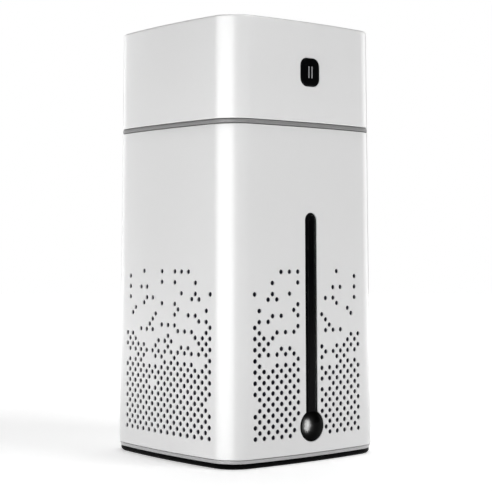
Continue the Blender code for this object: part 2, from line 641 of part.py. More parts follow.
def make_button(parent, switch_parent):
    """The button cap, the two light bars in it, and the switch behind them."""
    front = -half_width(BUTTON_Z) - BUTTON_PROUD
    wall_inside = -half_width(BUTTON_Z) + WALL
    flange = wall_inside + GAP
    cap = slab("power_button", rounded_rectangle(BUTTON_WIDE, BUTTON_TALL, BUTTON_CORNER, BUTTON_Z),
               front, flange + 0.5, BLACK, parent)
    stem_end = flange + 4.6
    join(cap, slab("button_flange", rounded_rectangle(16.6, 18.2, 4.6, BUTTON_Z), flange, flange + 1.2))
    pocket = block("guide_pocket", (-3.2, front + 1.5, BUTTON_Z - 4.4), (3.2, flange + 6, BUTTON_Z + 4.4))
    combine(cap, pocket)
    wide, tall = LIGHT_BAR
    guide = block("button_light_guide", (-2.7, front + 1.7, BUTTON_Z - 3.9),
                  (2.7, front + 2.7, BUTTON_Z + 3.9), LIGHT_GUIDE, parent)
    for side, x in (("left", -LIGHT_BAR_X), ("right", LIGHT_BAR_X)):
        combine(cap, block(f"bar_slot_{side}", (x - wide / 2 - 0.12, front - 1, BUTTON_Z - tall / 2 - 0.12),
                           (x + wide / 2 + 0.12, front + 2, BUTTON_Z + tall / 2 + 0.12)))
        join(guide, block(f"light_bar_{side}", (x - wide / 2, front - 0.05, BUTTON_Z - tall / 2),
                          (x + wide / 2, front + 2, BUTTON_Z + tall / 2)))
    for side, z in (("low", -6.4), ("high", 6.4)):
        join(cap, block(f"button_arm_{side}", (-1.5, flange + 0.4, BUTTON_Z + z - 0.9),
                        (1.5, stem_end, BUTTON_Z + z + 0.9)))
    join(cap, block("button_bridge", (-1.5, stem_end - 1.4, BUTTON_Z - 7.2),
                    (1.5, stem_end, BUTTON_Z + 7.2)))
    tip = stem_end + GAP
    centre_z = BOARD_TOP + 2.6
    plunger = rod("switch_plunger", 1.3, -2.0, 2.0, CHIP_BLACK, switch_parent, steps=12)
    plunger.rotation_euler.x = math.pi / 2
    plunger.location = Vector((0, tip + 2.0, centre_z)) * MM
    body_front = tip + 1.5
    body = block("tactile_switch", (-3, body_front, BOARD_TOP + 0.1), (3, body_front + 6, BOARD_TOP + 5.1),
                 CHIP_BLACK, switch_parent)
    socket = rod("plunger_socket", 1.55, -1, 3.6, steps=12)
    socket.rotation_euler.x = -math.pi / 2
    socket.location = Vector((0, body_front, centre_z)) * MM
    combine(body, socket)


# ---------------------------------------------------------------- wick tube

def make_filter(parent):
    """The wick tube with its bayonet lugs, its end cap, the spring and the cotton wick."""
    lug_top = LUG_Z + LUG_THICK
    tube = turned("filter_tube", [
        (TUBE_OUTER - 0.4, TUBE_TOP), (TUBE_OUTER, TUBE_TOP - 0.8), (TUBE_OUTER, lug_top + 2.0),
        (11.2, lug_top), (11.2, LUG_Z), (TUBE_OUTER, LUG_Z - 2.0), (TUBE_OUTER, TUBE_BOTTOM),
        (TUBE_INNER, TUBE_BOTTOM), (TUBE_INNER, TUBE_TOP)], INNER_WHITE, parent, ring=True)
    for side, start in (("left", 155), ("right", -25)):
        join(tube, sector(f"bayonet_lug_{side}", 10.0, LUG_RADIUS, LUG_Z, lug_top, start, start + 50))
    for level in range(2):
        z = 30.0 + 12.0 * level
        for turn in (0.0, math.pi / 2):
            combine(tube, block(f"water_slot_{level}_{int(turn)}", (-10, -1.2, z), (10, 1.2, z + 8.0),
                                turn=turn))
    cap = turned("filter_tube_cap", [
        (CAP_OUTER, CAP_BOTTOM + 9), (CAP_OUTER, CAP_BOTTOM + 0.8), (CAP_OUTER - 0.8, CAP_BOTTOM),
        (0, CAP_BOTTOM), (0, CAP_BOTTOM + 1.8), (TUBE_OUTER + GAP, CAP_BOTTOM + 1.8),
        (TUBE_OUTER + GAP, CAP_BOTTOM + 9)], INNER_WHITE, parent, ring=True)
    combine(cap, rod("cap_drain", 2.2, CAP_BOTTOM - 2, CAP_BOTTOM + 4, steps=12))
    wick = group("wick_assembly", parent=parent)
    turned("cotton_wick", [(0, WICK_TOP), (WICK_RADIUS - 0.8, WICK_TOP), (WICK_RADIUS, WICK_TOP - 1.0),
                           (WICK_RADIUS, WICK_BOTTOM + 0.6), (WICK_RADIUS - 0.6, WICK_BOTTOM),
                           (0, WICK_BOTTOM)], COTTON, wick, steps=16)
    wire("wick_spring", coil(3.6, CAP_BOTTOM + 2.5, WICK_BOTTOM - 0.8, 5), 0.45, STEEL, parent)


def coil(radius, z_low, z_high, turns, steps=8):
    """Points along a spring whose end turns lie flat."""
    points = []
    for i in range(turns * steps + 1):
        angle = 2 * math.pi * i / steps
        climb = min(max((i / steps - 0.8) / (turns - 1.6), 0.0), 1.0)
        points.append((radius * math.cos(angle), radius * math.sin(angle), z_low + (z_high - z_low) * climb))
    return points


def main():
    lower = group("lower_assembly")
    make_base(lower)
    make_lower_housing(lower)
    make_window(lower)
    make_tank(lower)
    head = group("head_assembly")
    make_head_housing(head)
    make_seam_ring(head)
    make_chassis(head)
    make_atomiser(head)
    make_nozzle(head)
    make_board(head)
    make_usb_socket(head)
    make_button(group("button_assembly", parent=head), head)
    make_filter(group("filter_assembly", parent=head))


clear_scene()
PART = new_collection("humidifier")
CUTTERS = new_collection("cutters")
main()
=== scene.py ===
"""The looks of a square cool mist humidifier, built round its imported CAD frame.

The tower has a perforated lower housing with a tank and a level window in it, and a lift-off head
with the button, the mist outlet, the atomiser and the wick tube. Lengths are in millimetres.
"""

from __future__ import annotations

import logging
import math
import random
from collections.abc import Callable, Iterable, Sequence
from dataclasses import dataclass, field
from enum import Enum
from functools import cache

import bmesh
import bpy
from bmesh.types import BMEdge, BMesh, BMFace, BMVert
from mathutils import Matrix, Vector


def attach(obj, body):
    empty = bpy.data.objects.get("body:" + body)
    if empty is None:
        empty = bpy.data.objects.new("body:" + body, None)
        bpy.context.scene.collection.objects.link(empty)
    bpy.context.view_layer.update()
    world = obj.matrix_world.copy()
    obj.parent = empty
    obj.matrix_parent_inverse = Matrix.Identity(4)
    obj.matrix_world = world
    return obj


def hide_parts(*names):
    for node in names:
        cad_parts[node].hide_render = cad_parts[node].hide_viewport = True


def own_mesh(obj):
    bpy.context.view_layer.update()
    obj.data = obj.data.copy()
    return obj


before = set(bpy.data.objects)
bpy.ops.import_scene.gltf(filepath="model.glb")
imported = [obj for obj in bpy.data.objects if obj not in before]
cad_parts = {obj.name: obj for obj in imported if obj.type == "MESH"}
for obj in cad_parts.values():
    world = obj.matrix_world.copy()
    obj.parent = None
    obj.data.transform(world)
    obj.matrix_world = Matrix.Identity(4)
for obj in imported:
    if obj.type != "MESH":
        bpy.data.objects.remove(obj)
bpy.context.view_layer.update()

LOG = logging.getLogger("humidifier")
MM = 0.001
MERGED = 0.0005    # points nearer than this in millimetres become one
QUARTER = math.pi / 2
SHARP = 32.0       # edges from this angle in degrees stay sharp
HAIR = 1e-6        # less than this is no distance at all
CORNERS = [(f"{depth}_{width}", x, y) for depth, y in (("front", -1), ("back", 1))
           for width, x in (("left", -1), ("right", 1))]
Piece = bpy.types.Object
Point = tuple[float, float]
RoundedPoint = tuple[float, ...]


# ------------------------------------------------------------------------------ shader maths

class Channel:
    """A shader output whose arithmetic adds the Math nodes it stands for."""

    def __init__(self, graph: Graph, socket: bpy.types.NodeSocket) -> None:
        """Wraps one output socket of a graph."""
        self.graph = graph
        self.socket = socket

    def _math(self, operation: str, first: object, second: object, clamp: bool = False) -> Channel:
        """A Math node on two values or channels."""
        return self.graph.node("ShaderNodeMath", {0: first, 1: second},
                               operation=operation, use_clamp=clamp)

    def __add__(self, other: object) -> Channel:
        """This plus another, on either side."""
        return self._math("ADD", self, other)

    def __sub__(self, other: object) -> Channel:
        """This minus another."""
        return self._math("SUBTRACT", self, other)

    def __rsub__(self, other: object) -> Channel:
        """A number minus this."""
        return self._math("SUBTRACT", other, self)

    def __mul__(self, other: object) -> Channel:
        """This times another, on either side."""
        return self._math("MULTIPLY", self, other)

    __radd__, __rmul__ = __add__, __mul__

    def __gt__(self, other: object) -> Channel:
        """One where this is greater, and zero elsewhere."""
        return self._math("GREATER_THAN", self, other)

    def clamped(self) -> Channel:
        """This kept between zero and one."""
        return self._math("ADD", self, 0.0, clamp=True)


class Graph:
    """The node graph of one Principled material."""

    def __init__(self, name: str) -> None:
        """Starts a material with a bare Principled shader."""
        self.material = bpy.data.materials.new(name)
        self.material.use_nodes = True
        self.tree = self.material.node_tree
        self.shader = self.tree.nodes["Principled BSDF"]

    def node(self, kind: str, inputs: dict[int | str, object] | None = None,
             output: int | str = 0, **settings: object) -> Channel:
        """Adds one node.

        Args:
            kind: The node's type name.
            inputs: Values or channels for its sockets.
            output: The output to hand back.
            **settings: The node's own settings.

        Returns:
            The chosen output.
        """
        made = self.tree.nodes.new(kind)
        for key, value in settings.items():
            setattr(made, key, value)
        for key, value in (inputs or {}).items():
            self.feed(made.inputs[key], value)
        return Channel(self, made.outputs[output])

    def feed(self, socket: bpy.types.NodeSocket, value: object) -> None:
        """Links a channel to a socket, or sets its value."""
        if isinstance(value, Channel):
            self.tree.links.new(value.socket, socket)
        else:
            socket.default_value = value

    def place(self, stretch: tuple[float, float, float] = (1.0, 1.0, 1.0)) -> Channel:
        """Object coordinates in millimetres, stretched along the axes."""
        coordinates = self.node("ShaderNodeTexCoord", output="Object")
        scale = [s / MM for s in stretch]
        return self.node("ShaderNodeMapping", {"Vector": coordinates, "Scale": scale})

    def noise(self, size: float, detail: float = 2.0,
              stretch: tuple[float, float, float] = (1.0, 1.0, 1.0)) -> Channel:
        """Noise about 0.5 whose features are `size` millimetres across."""
        inputs = {"Vector": self.place(stretch), "Scale": 1.0 / size, "Detail": detail}
        return self.node("ShaderNodeTexNoise", inputs)

    def blend(self, amount: object, first: object, second: object) -> Channel:
        """A mix of two colours."""
        return self.node("ShaderNodeMix", {0: amount, 6: first, 7: second}, output=2,
                         data_type="RGBA")

    def relief(self, height: Channel, depth: float) -> None:
        """Gives the surface a fine relief, `depth` millimetres from low to high."""
        bump = self.node("ShaderNodeBump", {"Height": height, "Distance": depth * MM,
                                            "Strength": 1.0})
        self.feed(self.shader.inputs["Normal"], bump)


# ------------------------------------------------------------------------------ finishes

Colour = tuple[float, float, float]


class Skin(Enum):
    """How a finish's surface is worked."""

    SPARK = "spark"          # a fine spark-eroded mould texture
    POLISH = "polish"        # polished, with faint smears
    MATT = "matt"            # dull and slightly uneven
    BRUSHED = "brushed"      # drawn or stamped metal
    FIBRE = "fibre"          # pressed cotton
    BOARD = "board"          # a circuit board under solder mask
    MESH = "mesh"            # a disc with a field of tiny pierced holes


@dataclass(frozen=True)
class Finish:
    """One material of the object, and how it is worked. Lengths are in millimetres."""

    name: str
    colour: Colour            # linear
    skin: Skin = Skin.SPARK
    roughness: float = 0.4    # its mean
    metallic: float = 0.0
    grain: float = 0.35       # the size of its texture
    depth: float = 0.004      # the depth of its texture
    drift: float = 0.03       # how far the colour strays
    coat: float = 0.0         # the weight of a clear top layer
    specular: float = 0.5
    glow: float = 0.0         # the strength of its own light

    def shade(self, factor: float) -> tuple[float, float, float, float]:
        """The base colour made lighter or darker."""
        red, green, blue = (min(1.0, c * factor) for c in self.colour)
        return red, green, blue, 1.0

    @cache
    def material(self) -> bpy.types.Material:
        """The material, made once."""
        graph = Graph(f"{self.name}_finish")
        shader = graph.shader.inputs
        shader["Metallic"].default_value = self.metallic
        shader["Specular IOR Level"].default_value = self.specular
        shader["Coat Weight"].default_value = self.coat
        shader["Coat Roughness"].default_value = self.roughness
        if self.glow:
            shader["Emission Color"].default_value = self.shade(1.0)
            shader["Emission Strength"].default_value = self.glow
        getattr(self, f"_{self.skin.value}")(graph)
        graph.material.diffuse_color = self.shade(1.0)
        return graph.material

    def _work(self, graph: Graph, tint: Channel, sheen: Channel, spread: float, height: Channel) -> None:
        """Lets the colour, roughness and relief stray with channels about 0.5.

        Args:
            graph: The material's graph.
            tint: What the base colour follows.
            sheen: What the roughness follows.
            spread: How far the roughness goes from low to high.
            height: What the relief follows.
        """
        low, high = self.shade(1 - self.drift), self.shade(1 + self.drift)
        graph.feed(graph.shader.inputs["Base Color"], graph.blend(tint, low, high))
        self._finish_surface(graph, sheen, spread, height)

    def _finish_surface(self, graph: Graph, sheen: Channel, spread: float, height: Channel) -> None:
        """Lets the roughness and relief alone stray with channels."""
        value = (sheen - 0.5) * spread + self.roughness
        graph.feed(graph.shader.inputs["Roughness"], value.clamped())
        graph.relief(height, self.depth)

    def _spark(self, graph: Graph) -> None:
        """An even mould texture with slow drifts of sheen over it."""
        slow, fine = graph.noise(38.0, 3.0), graph.noise(self.grain, 3.0)
        self._work(graph, slow, slow * 0.6 + fine * 0.4, 0.16, fine)

    def _polish(self, graph: Graph) -> None:
        """A polished surface with faint upright smears and a few dust specks."""
        smear, dust = graph.noise(6.0, 4.0, (1.0, 1.0, 0.35)), graph.noise(0.5, 1.0) > 0.78
        self._work(graph, smear, smear + dust * 0.5, 0.14, graph.noise(9.0, 1.0))

    def _matt(self, graph: Graph) -> None:
        """A dull surface, slightly uneven in colour."""
        uneven, fine = graph.noise(self.grain * 8, 4.0), graph.noise(self.grain, 2.0)
        self._work(graph, uneven, uneven, 0.2, fine * 0.7 + uneven * 0.3)

    def _brushed(self, graph: Graph) -> None:
        """Metal with fine drawn lines along one way."""
        lines, blotch = graph.noise(self.grain, 4.0, (0.12, 1.0, 1.0)), graph.noise(4.0, 3.0)
        self._work(graph, blotch, lines * 0.6 + blotch * 0.4, 0.3, lines)

    def _fibre(self, graph: Graph) -> None:
        """Pressed cotton: long soft fibres, and shaded hollows between them."""
        strands, clumps = graph.noise(self.grain, 6.0, (1.0, 1.0, 0.22)), graph.noise(self.grain * 4, 3.0)
        self._work(graph, strands, clumps, 0.1, strands * 0.7 + clumps * 0.5)

    def _board(self, graph: Graph) -> None:
        """Solder mask over copper runs, with bare tinned pads."""
        place = graph.place()
        runs = graph.node("ShaderNodeTexBrick", {
            "Vector": place, "Scale": 0.16, "Mortar Size": 0.045, "Mortar Smooth": 0.1,
            "Brick Width": 0.9, "Row Height": 0.35}, output="Fac", offset=0.37)
        cells = graph.node("ShaderNodeTexVoronoi", {"Vector": place, "Scale": 0.28})
        pads = (cells * -1.0) > -0.16
        mask = graph.blend(runs, self.shade(1.0), self.shade(1.9))
        tinned = (0.62, 0.60, 0.55, 1.0)
        graph.feed(graph.shader.inputs["Base Color"], graph.blend(pads, mask, tinned))
        graph.feed(graph.shader.inputs["Metallic"], pads)
        self._finish_surface(graph, graph.noise(3.0), 0.2, runs * 0.4 + pads * 0.6)

    def _mesh(self, graph: Graph) -> None:
        """Bright metal with a field of tiny holes all over, painted dark as painted shade in them."""
        cells = graph.node("ShaderNodeTexVoronoi", {"Vector": graph.place(), "Scale": 3.2})
        holes = (cells * -1.0) > -0.24
        # The holes take a dark colour: painted shade for the voids.
        low, high = self.shade(0.15), self.shade(1.0)
        graph.feed(graph.shader.inputs["Base Color"], graph.blend(holes, high, low))
        self._finish_surface(graph, graph.noise(1.0), 0.2, holes * -1.0)


WHITE = Finish("white_plastic", (0.70, 0.70, 0.70), Skin.SPARK, 0.31, grain=0.30, depth=0.001,
               drift=0.006, coat=1.0, specular=0.7)
# Painted shade: a dark layer that darkens the hole walls below the white skin and the shell's inside,
# standing in for the shade in the holes.
PAINTED_HOLE_SHADE = Finish("dark_liner", (0.045, 0.045, 0.065), Skin.MATT, 0.6, depth=0.003, specular=0.2)
# Partly painted shade: a grey plastic ring whose grey also stands in for the shade on its downward-facing
# lip under the white housing.
SKIRT_GREY_AND_SHADE = Finish("light_grey_plastic", (0.37, 0.37, 0.375), Skin.SPARK, 0.28, depth=0.002, coat=1.0)
SEAM = Finish("grey_plastic", (0.20, 0.20, 0.20), Skin.MATT, 0.42, depth=0.003)
BLACK = Finish("black_plastic", (0.0010, 0.0010, 0.0012), Skin.SPARK, 0.45, depth=0.002,
               specular=0.03)
CAP_BLACK = Finish("black_gloss_plastic", (0.0012, 0.0012, 0.0014), Skin.POLISH, 0.25, depth=0.001,
                   specular=0.06)
SMOKED = Finish("smoked_plastic", (0.0010, 0.0010, 0.0012), Skin.POLISH, 0.16, depth=0.001,
                specular=0.04)
LENS = Finish("smoked_lens", (0.0001, 0.0001, 0.0001), Skin.POLISH, 0.2, depth=0.001,
              specular=0.02)
TANK = Finish("tank_plastic", (0.035, 0.038, 0.055), Skin.POLISH, 0.22, depth=0.002, drift=0.1)
INNER = Finish("inner_plastic", (0.70, 0.70, 0.68), Skin.SPARK, 0.45, depth=0.003)
BAR = Finish("milky_bar", (0.27, 0.27, 0.28), Skin.MATT, 0.4, depth=0.002)
GUIDE = Finish("light_guide", (0.56, 0.57, 0.58), Skin.MATT, 0.3, depth=0.002, glow=0.12)
SILICONE = Finish("silicone", (0.45, 0.47, 0.50), Skin.MATT, 0.55, depth=0.004, grain=0.2)
RUBBER = Finish("rubber", (0.018, 0.018, 0.018), Skin.MATT, 0.8, grain=0.25, depth=0.03,
                drift=0.25)
STEEL = Finish("steel", (0.60, 0.60, 0.61), Skin.BRUSHED, 0.3, 1.0, grain=0.12, depth=0.004)
DISC = Finish("pierced_steel", (0.62, 0.62, 0.63), Skin.MESH, 0.25, 1.0, depth=0.01)
BRASS = Finish("gilt_contact", (0.75, 0.56, 0.24), Skin.BRUSHED, 0.25, 1.0, grain=0.1)
CERAMIC = Finish("ceramic", (0.60, 0.57, 0.50), Skin.MATT, 0.5, grain=0.15, depth=0.01)
BOARD = Finish("circuit_board", (0.015, 0.13, 0.055), Skin.BOARD, 0.35, depth=0.03)
CHIP = Finish("chip", (0.02, 0.02, 0.022), Skin.MATT, 0.55, grain=0.1, depth=0.006)
COTTON = Finish("cotton", (0.80, 0.78, 0.72), Skin.FIBRE, 0.95, grain=0.45, depth=0.12,
                drift=0.14)
RED_WIRE = Finish("red_wire", (0.50, 0.02, 0.02), Skin.MATT, 0.45, depth=0.004)


# ------------------------------------------------------------------------------ making pieces

class Body(Enum):
    """The bodies that pieces ride on."""

    LOWER = "lower_unit"
    HEAD = "head"
    BUTTON = "button"
    FILTER = "filter"
    WICK = "wick"


def smoothed(mesh: bpy.types.Mesh, sharp: float) -> None:
    """Shades a mesh smooth, but for edges sharper than an angle in degrees."""
    mesh.shade_smooth()
    mesh.set_sharp_from_angle(angle=math.radians(sharp))


def soften(bm: BMesh, edges: Sequence[BMEdge], width: float, steps: int) -> None:
    """Rounds edges off."""
    bmesh.ops.bevel(bm, geom=edges, offset=width, offset_type="OFFSET", affect="EDGES", segments=steps,
                    profile=0.5, material=-1)


def among(geometry: Iterable[object], kind: type) -> list:
    """The vertices, edges or faces among an operator's results."""
    return [part for part in geometry if isinstance(part, kind)]


def loose(name: str, bm: BMesh, sharp: float = SHARP) -> Piece:
    """Turns a bmesh in millimetres into an object in metres, with smooth and sharp edges.

    Args:
        name: The object's name.
        bm: The mesh, which is used up.
        sharp: The angle in degrees from which an edge is sharp.

    Returns:
        The object.
    """
    bmesh.ops.remove_doubles(bm, verts=bm.verts, dist=MERGED)
    bmesh.ops.recalc_face_normals(bm, faces=bm.faces)
    bmesh.ops.scale(bm, vec=(MM, MM, MM), verts=bm.verts)
    mesh = bpy.data.meshes.new(name)
    bm.to_mesh(mesh)
    bm.free()
    smoothed(mesh, sharp)
    obj = bpy.data.objects.new(name, mesh)
    bpy.context.scene.collection.objects.link(obj)
    return obj


def settle(obj: Piece, finish: Finish, body: Body, *nodes: str) -> Piece:
    """Dresses a piece, has it ride on a body, and has it stand for its CAD nodes."""
    if not obj.data.materials:
        obj.data.materials.append(finish.material())
    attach(obj, body.value)
    if nodes:
        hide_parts(*nodes)
    LOG.info("%s: %d faces, for %s", obj.name, len(obj.data.polygons), ", ".join(nodes) or "itself")
    return obj


def dress(finish: Finish, *nodes: str) -> None:
    """Gives CAD nodes that keep their shape a finish."""
    for node in nodes:
        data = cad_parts[node].data
        data.materials.clear()
        data.materials.append(finish.material())
        LOG.info("%s: CAD shape, %s", node, finish.name)


def cut(target: Piece, cutters: Iterable[Piece],
        operation: str = "DIFFERENCE", sharp: float = SHARP) -> None:
    """Cuts shapes from a piece, or joins them to it, and removes them."""
    cutters = list(cutters)
    for cutter in cutters:
        modifier = target.modifiers.new(cutter.name, "BOOLEAN")
        modifier.operation = operation
        modifier.solver = "EXACT"
        modifier.object = cutter
    graph = bpy.context.evaluated_depsgraph_get()
    mesh = bpy.data.meshes.new_from_object(target.evaluated_get(graph))
    target.modifiers.clear()
    old, target.data = target.data, mesh
    bpy.data.meshes.remove(old)
    smoothed(mesh, sharp)
    for cutter in cutters:
        bpy.data.meshes.remove(cutter.data)


def rounded(points: Sequence[RoundedPoint], steps: int = 3, closed: bool = False) -> list[Point]:
    """A profile whose corners are rounded.

    Args:
        points: (a, b) corners, or (a, b, radius) for a rounded one.
        steps: The pieces in each rounding.
        closed: Whether the last point joins the first.

    Returns:
        The profile's points.
    """
    made: list[Point] = []
    count = len(points)
    for i, point in enumerate(points):
        here = Vector(point[:2])
        ends = not closed and i in (0, count - 1)
        if len(point) < 3 or ends:
            made.append(tuple(here))
            continue
        before = Vector(points[i - 1][:2]) - here
        after = Vector(points[(i + 1) % count][:2]) - here
        half = before.angle(after) / 2
        reach = min(point[2] / math.tan(half), before.length * 0.49, after.length * 0.49)
        start = here + before.normalized() * reach
        end = here + after.normalized() * reach
        for k in range(steps + 1):
            t = k / steps
            made.append(tuple(start * (1 - t) ** 2 + here * 2 * t * (1 - t) + end * t ** 2))
    return made


def turned(name: str, profile: Sequence[RoundedPoint], closed: bool = False, steps: int = 48,
           matrix: Matrix | None = None, fillet_steps: int = 3) -> Piece:
    """Spins a profile of (radius, height) points about the Z axis.

    Args:
        name: The object's name.
        profile: The points, which may carry a rounding radius.
        closed: Whether the profile is a ring's.
        steps: The pieces in a full turn.
        matrix: Where the turned shape goes, in millimetres.
        fillet_steps: The pieces in each rounding.

    Returns:
        The object.
    """
    bm = bmesh.new()
    verts = [bm.verts.new((r, 0, z)) for r, z in rounded(profile, fillet_steps, closed)]
    following = verts[1:] + verts[:1] if closed else verts[1:]
    edges = [bm.edges.new(pair) for pair in zip(verts, following)]
    bmesh.ops.spin(bm, geom=verts + edges, cent=(0, 0, 0), axis=(0, 0, 1), dvec=(0, 0, 0),
                   angle=math.tau, steps=steps, use_merge=True, use_duplicate=False)
    bmesh.ops.remove_doubles(bm, verts=bm.verts, dist=MERGED)
    if matrix is not None:
        bmesh.ops.transform(bm, matrix=matrix, verts=bm.verts)
    return loose(name, bm)


def block(name: str, low: Sequence[float], high: Sequence[float], bevel: float = 0.0,
          matrix: Matrix | None = None) -> Piece:
    """A box between two corners, with rounded edges where asked."""
    low, high = Vector(low), Vector(high)
    bm = bmesh.new()
    placed = Matrix.Translation((low + high) / 2) @ Matrix.Diagonal(high - low).to_4x4()
    bmesh.ops.create_cube(bm, size=1.0, matrix=placed)
    if bevel:
        soften(bm, bm.edges[:], bevel, 3)
    if matrix is not None:
        bmesh.ops.transform(bm, matrix=matrix, verts=bm.verts)
    return loose(name, bm)


def slab(name: str, outline: Sequence[Point], front: float, back: float, edge: float = 0.0,
         lean: float = 0.0, segments: int = 4, crown: float = 1.0) -> Piece:
    """An upright plate from an outline in X and Z, with a rounded front edge.

    Args:
        name: The object's name.
        outline: The (x, z) points.
        front: The front face's y.
        back: The back face's y.
        edge: The rounding of the front edge.
        lean: How far y moves back for each millimetre of height.
        segments: The pieces in the rounding.
        crown: How deep the rounding is for its width.

    Returns:
        The object.
    """
    bm = bmesh.new()
    face = bm.faces.new([bm.verts.new((x, front, z)) for x, z in outline])
    grown = bmesh.ops.extrude_face_region(bm, geom=[face], use_keep_orig=True)["geom"]
    bmesh.ops.translate(bm, verts=among(grown, BMVert), vec=(0, back - front, 0))
    if edge:
        rim = [e for e in bm.edges if all(abs(v.co.y - front) < HAIR for v in e.verts)]
        soften(bm, rim, edge, segments)
    for vert in bm.verts:
        if vert.co.y < front + edge + HAIR:
            vert.co.y = front + (vert.co.y - front) * crown
        vert.co.y += lean * vert.co.z
    return loose(name, bm)


def rounded_rectangle(wide: float, tall: float, corner: float, middle: Point = (0, 0),
                      steps: int = 8) -> list[Point]:
    """The outline of a rounded rectangle, anticlockwise from its right side."""
    sides = [(1, 1), (-1, 1), (-1, -1), (1, -1)]
    points = []
    for k, (sx, sz) in enumerate(sides):
        for i in range(steps + 1):
            angle = QUARTER * (k + i / steps)
            points.append((middle[0] + sx * (wide / 2 - corner) + corner * math.cos(angle),
                           middle[1] + sz * (tall / 2 - corner) + corner * math.sin(angle)))
    return points


# ------------------------------------------------------------------------------ the tower's form

@dataclass(frozen=True)
class Tower:
    """The tower's outer form: bowed sides and round corners, drawn in towards the top."""

    half_width: float = 56.2
    draft: float = 0.0089
    corner_radius: float = 15.5
    bow_radius: float = 380.0
    side_steps: int = 20
    corner_steps: int = 14

    def reach(self, z: float) -> float:
        """From the axis to the middle of a side, less the corner radius."""
        return self.half_width - self.draft * z - self.corner_radius

    def corner(self, z: float) -> float:
        """Both coordinates of a corner's centre."""
        bow = self.bow_radius
        return bow * (math.sqrt(1 + 2 * self.reach(z) / bow) - 1)

    def face(self, z: float) -> float:
        """From the axis to the middle of a side."""
        return self.half_width - self.draft * z

    def on_side(self, along: float, z: float, inset: float) -> Vector:
        """A point on the front side, `along` from its middle at the skin."""
        across = along / (1 + self.corner_radius / self.bow_radius)
        radius = self.corner_radius - inset
        tilt = math.atan2(across, self.bow_radius)
        depth = self.reach(z) - across ** 2 / (2 * self.bow_radius)
        return Vector((across + radius * math.sin(tilt), -depth - radius * math.cos(tilt), z))

    def side_end(self, z: float) -> float:
        """How far along from its middle a side ends."""
        return self.corner(z) * (1 + self.corner_radius / self.bow_radius)

    def on_corner(self, fraction: float, z: float, inset: float) -> Vector:
        """A point on the front right corner, from the front side (0) to the right one (1)."""
        centre = self.corner(z)
        turn = math.atan2(centre, self.bow_radius)
        angle = turn + (QUARTER - 2 * turn) * fraction
        radius = self.corner_radius - inset
        return Vector((centre + radius * math.sin(angle), -centre - radius * math.cos(angle), z))

    def outline(self, inset: float, z: float) -> list[Vector]:
        """The whole outline at a height, moved inwards."""
        end = self.side_end(z)
        quarter = [self.on_side(end * (2 * i / self.side_steps - 1), z, inset)
                   for i in range(self.side_steps)]
        quarter += [self.on_corner(i / self.corner_steps, z, inset)
                    for i in range(self.corner_steps)]
        return [Matrix.Rotation(k * QUARTER, 3, "Z") @ point
                for k in range(4) for point in quarter]

    def swept(self, name: str, profile: Sequence[RoundedPoint], closed: bool = True,
              fillet_steps: int = 3) -> Piece:
        """Sweeps a profile of (inset, height) points round the tower.

        Args:
            name: The object's name.
            profile: The points, which may carry a rounding radius.
            closed: Whether it is a ring's profile. Any other is filled at both ends.
            fillet_steps: The pieces in each rounding.

        Returns:
            The object.
        """
        points = rounded(profile, fillet_steps, closed)
        bm = bmesh.new()
        count = 4 * (self.side_steps + self.corner_steps)
        loop = bmesh.ops.create_circle(bm, segments=count, radius=1.0)["verts"]
        self._onto(loop, points[0])
        edges = bm.edges[:]
        first = edges
        for point in points[1:] + (points[:1] if closed else []):
            grown = bmesh.ops.extrude_edge_only(bm, edges=edges)["geom"]
            edges = among(grown, BMEdge)
            self._onto(among(grown, BMVert), point)
        if not closed:
            for rim in (first, edges):
                bmesh.ops.contextual_create(bm, geom=rim)
        return loose(name, bm)

    def _onto(self, verts: Sequence[BMVert], point: Point) -> None:
        """Moves a loop's vertices, in their turning order, onto the outline."""
        def turn(place: Vector) -> float:
            """The angle of a point about the axis, from just past the middle of a side."""
            return (math.atan2(place.y, place.x) - 0.01) % math.tau

        inset, z = point
        places = sorted(self.outline(inset, z), key=turn)
        for vert, place in zip(sorted(verts, key=lambda v: turn(v.co)), places):
            vert.co = place


TOWER = Tower()
CORNER_MARK = 100.0   # where a flat quarter's corner starts, in place of a length along the side
POST_SPREAD = 36.5    # from the axis to the head's screw posts, both ways


# ------------------------------------------------------------------------------ lower unit

@dataclass(frozen=True)
class HolePattern:
    """Round holes on a staggered lattice: whole rows low down, thinning out upwards.

    The lattice is one half-pitch cell wide and one row tall, and every second cell takes a hole.
    """

    pitch: float = 5.619
    row_step: float = 2.844
    first_row: float = 15.13
    rows: int = 31
    cells: int = 27
    radius: float = 1.27
    shift: float = 0.87
    rim_angle: float = 30.0
    full_rows: tuple[int, ...] = (0, 1, 2, 3, 4, 5, 7, 8, 10, 12, 15)
    shares: tuple[tuple[int, float], ...] = ((14, 0.88), (20, 0.52), (27, 0.42), (31, 0.25))
    thin_from: int = 20
    crowding: float = 0.5
    window_margin: float = 2.9
    bulb_margin: float = 2.2
    seed: int = 56070
    rim_cuts: int = 2

    def share(self, row: int) -> float:
        """How many of a row's places have a hole."""
        if row in self.full_rows:
            return 1.0
        return next(share for end, share in self.shares if row < end)

    def chosen(self) -> set[tuple[int, int]]:
        """The (cell, row) places that have a hole, kept apart in the thin rows."""
        draw = random.Random(self.seed)
        places: set[tuple[int, int]] = set()
        for row in range(self.rows):
            for cell in range(row % 2, self.cells, 2):
                crowded = row >= self.thin_from and {(cell - 1, row - 1), (cell + 1, row - 1)} & places
                if draw.random() < self.share(row) * (self.crowding if crowded else 1.0):
                    places.add((cell, row))
        return places

    def column_edges(self, shift: float) -> list[float]:
        """The positions of the cells' edges along a side."""
        half = self.pitch / 2
        return [shift + half * (i - self.cells / 2) for i in range(self.cells + 1)]

    def row_edges(self) -> list[float]:
        """The heights of the rows' edges."""
        return [self.first_row + self.row_step * (i - 0.5) for i in range(self.rows + 1)]


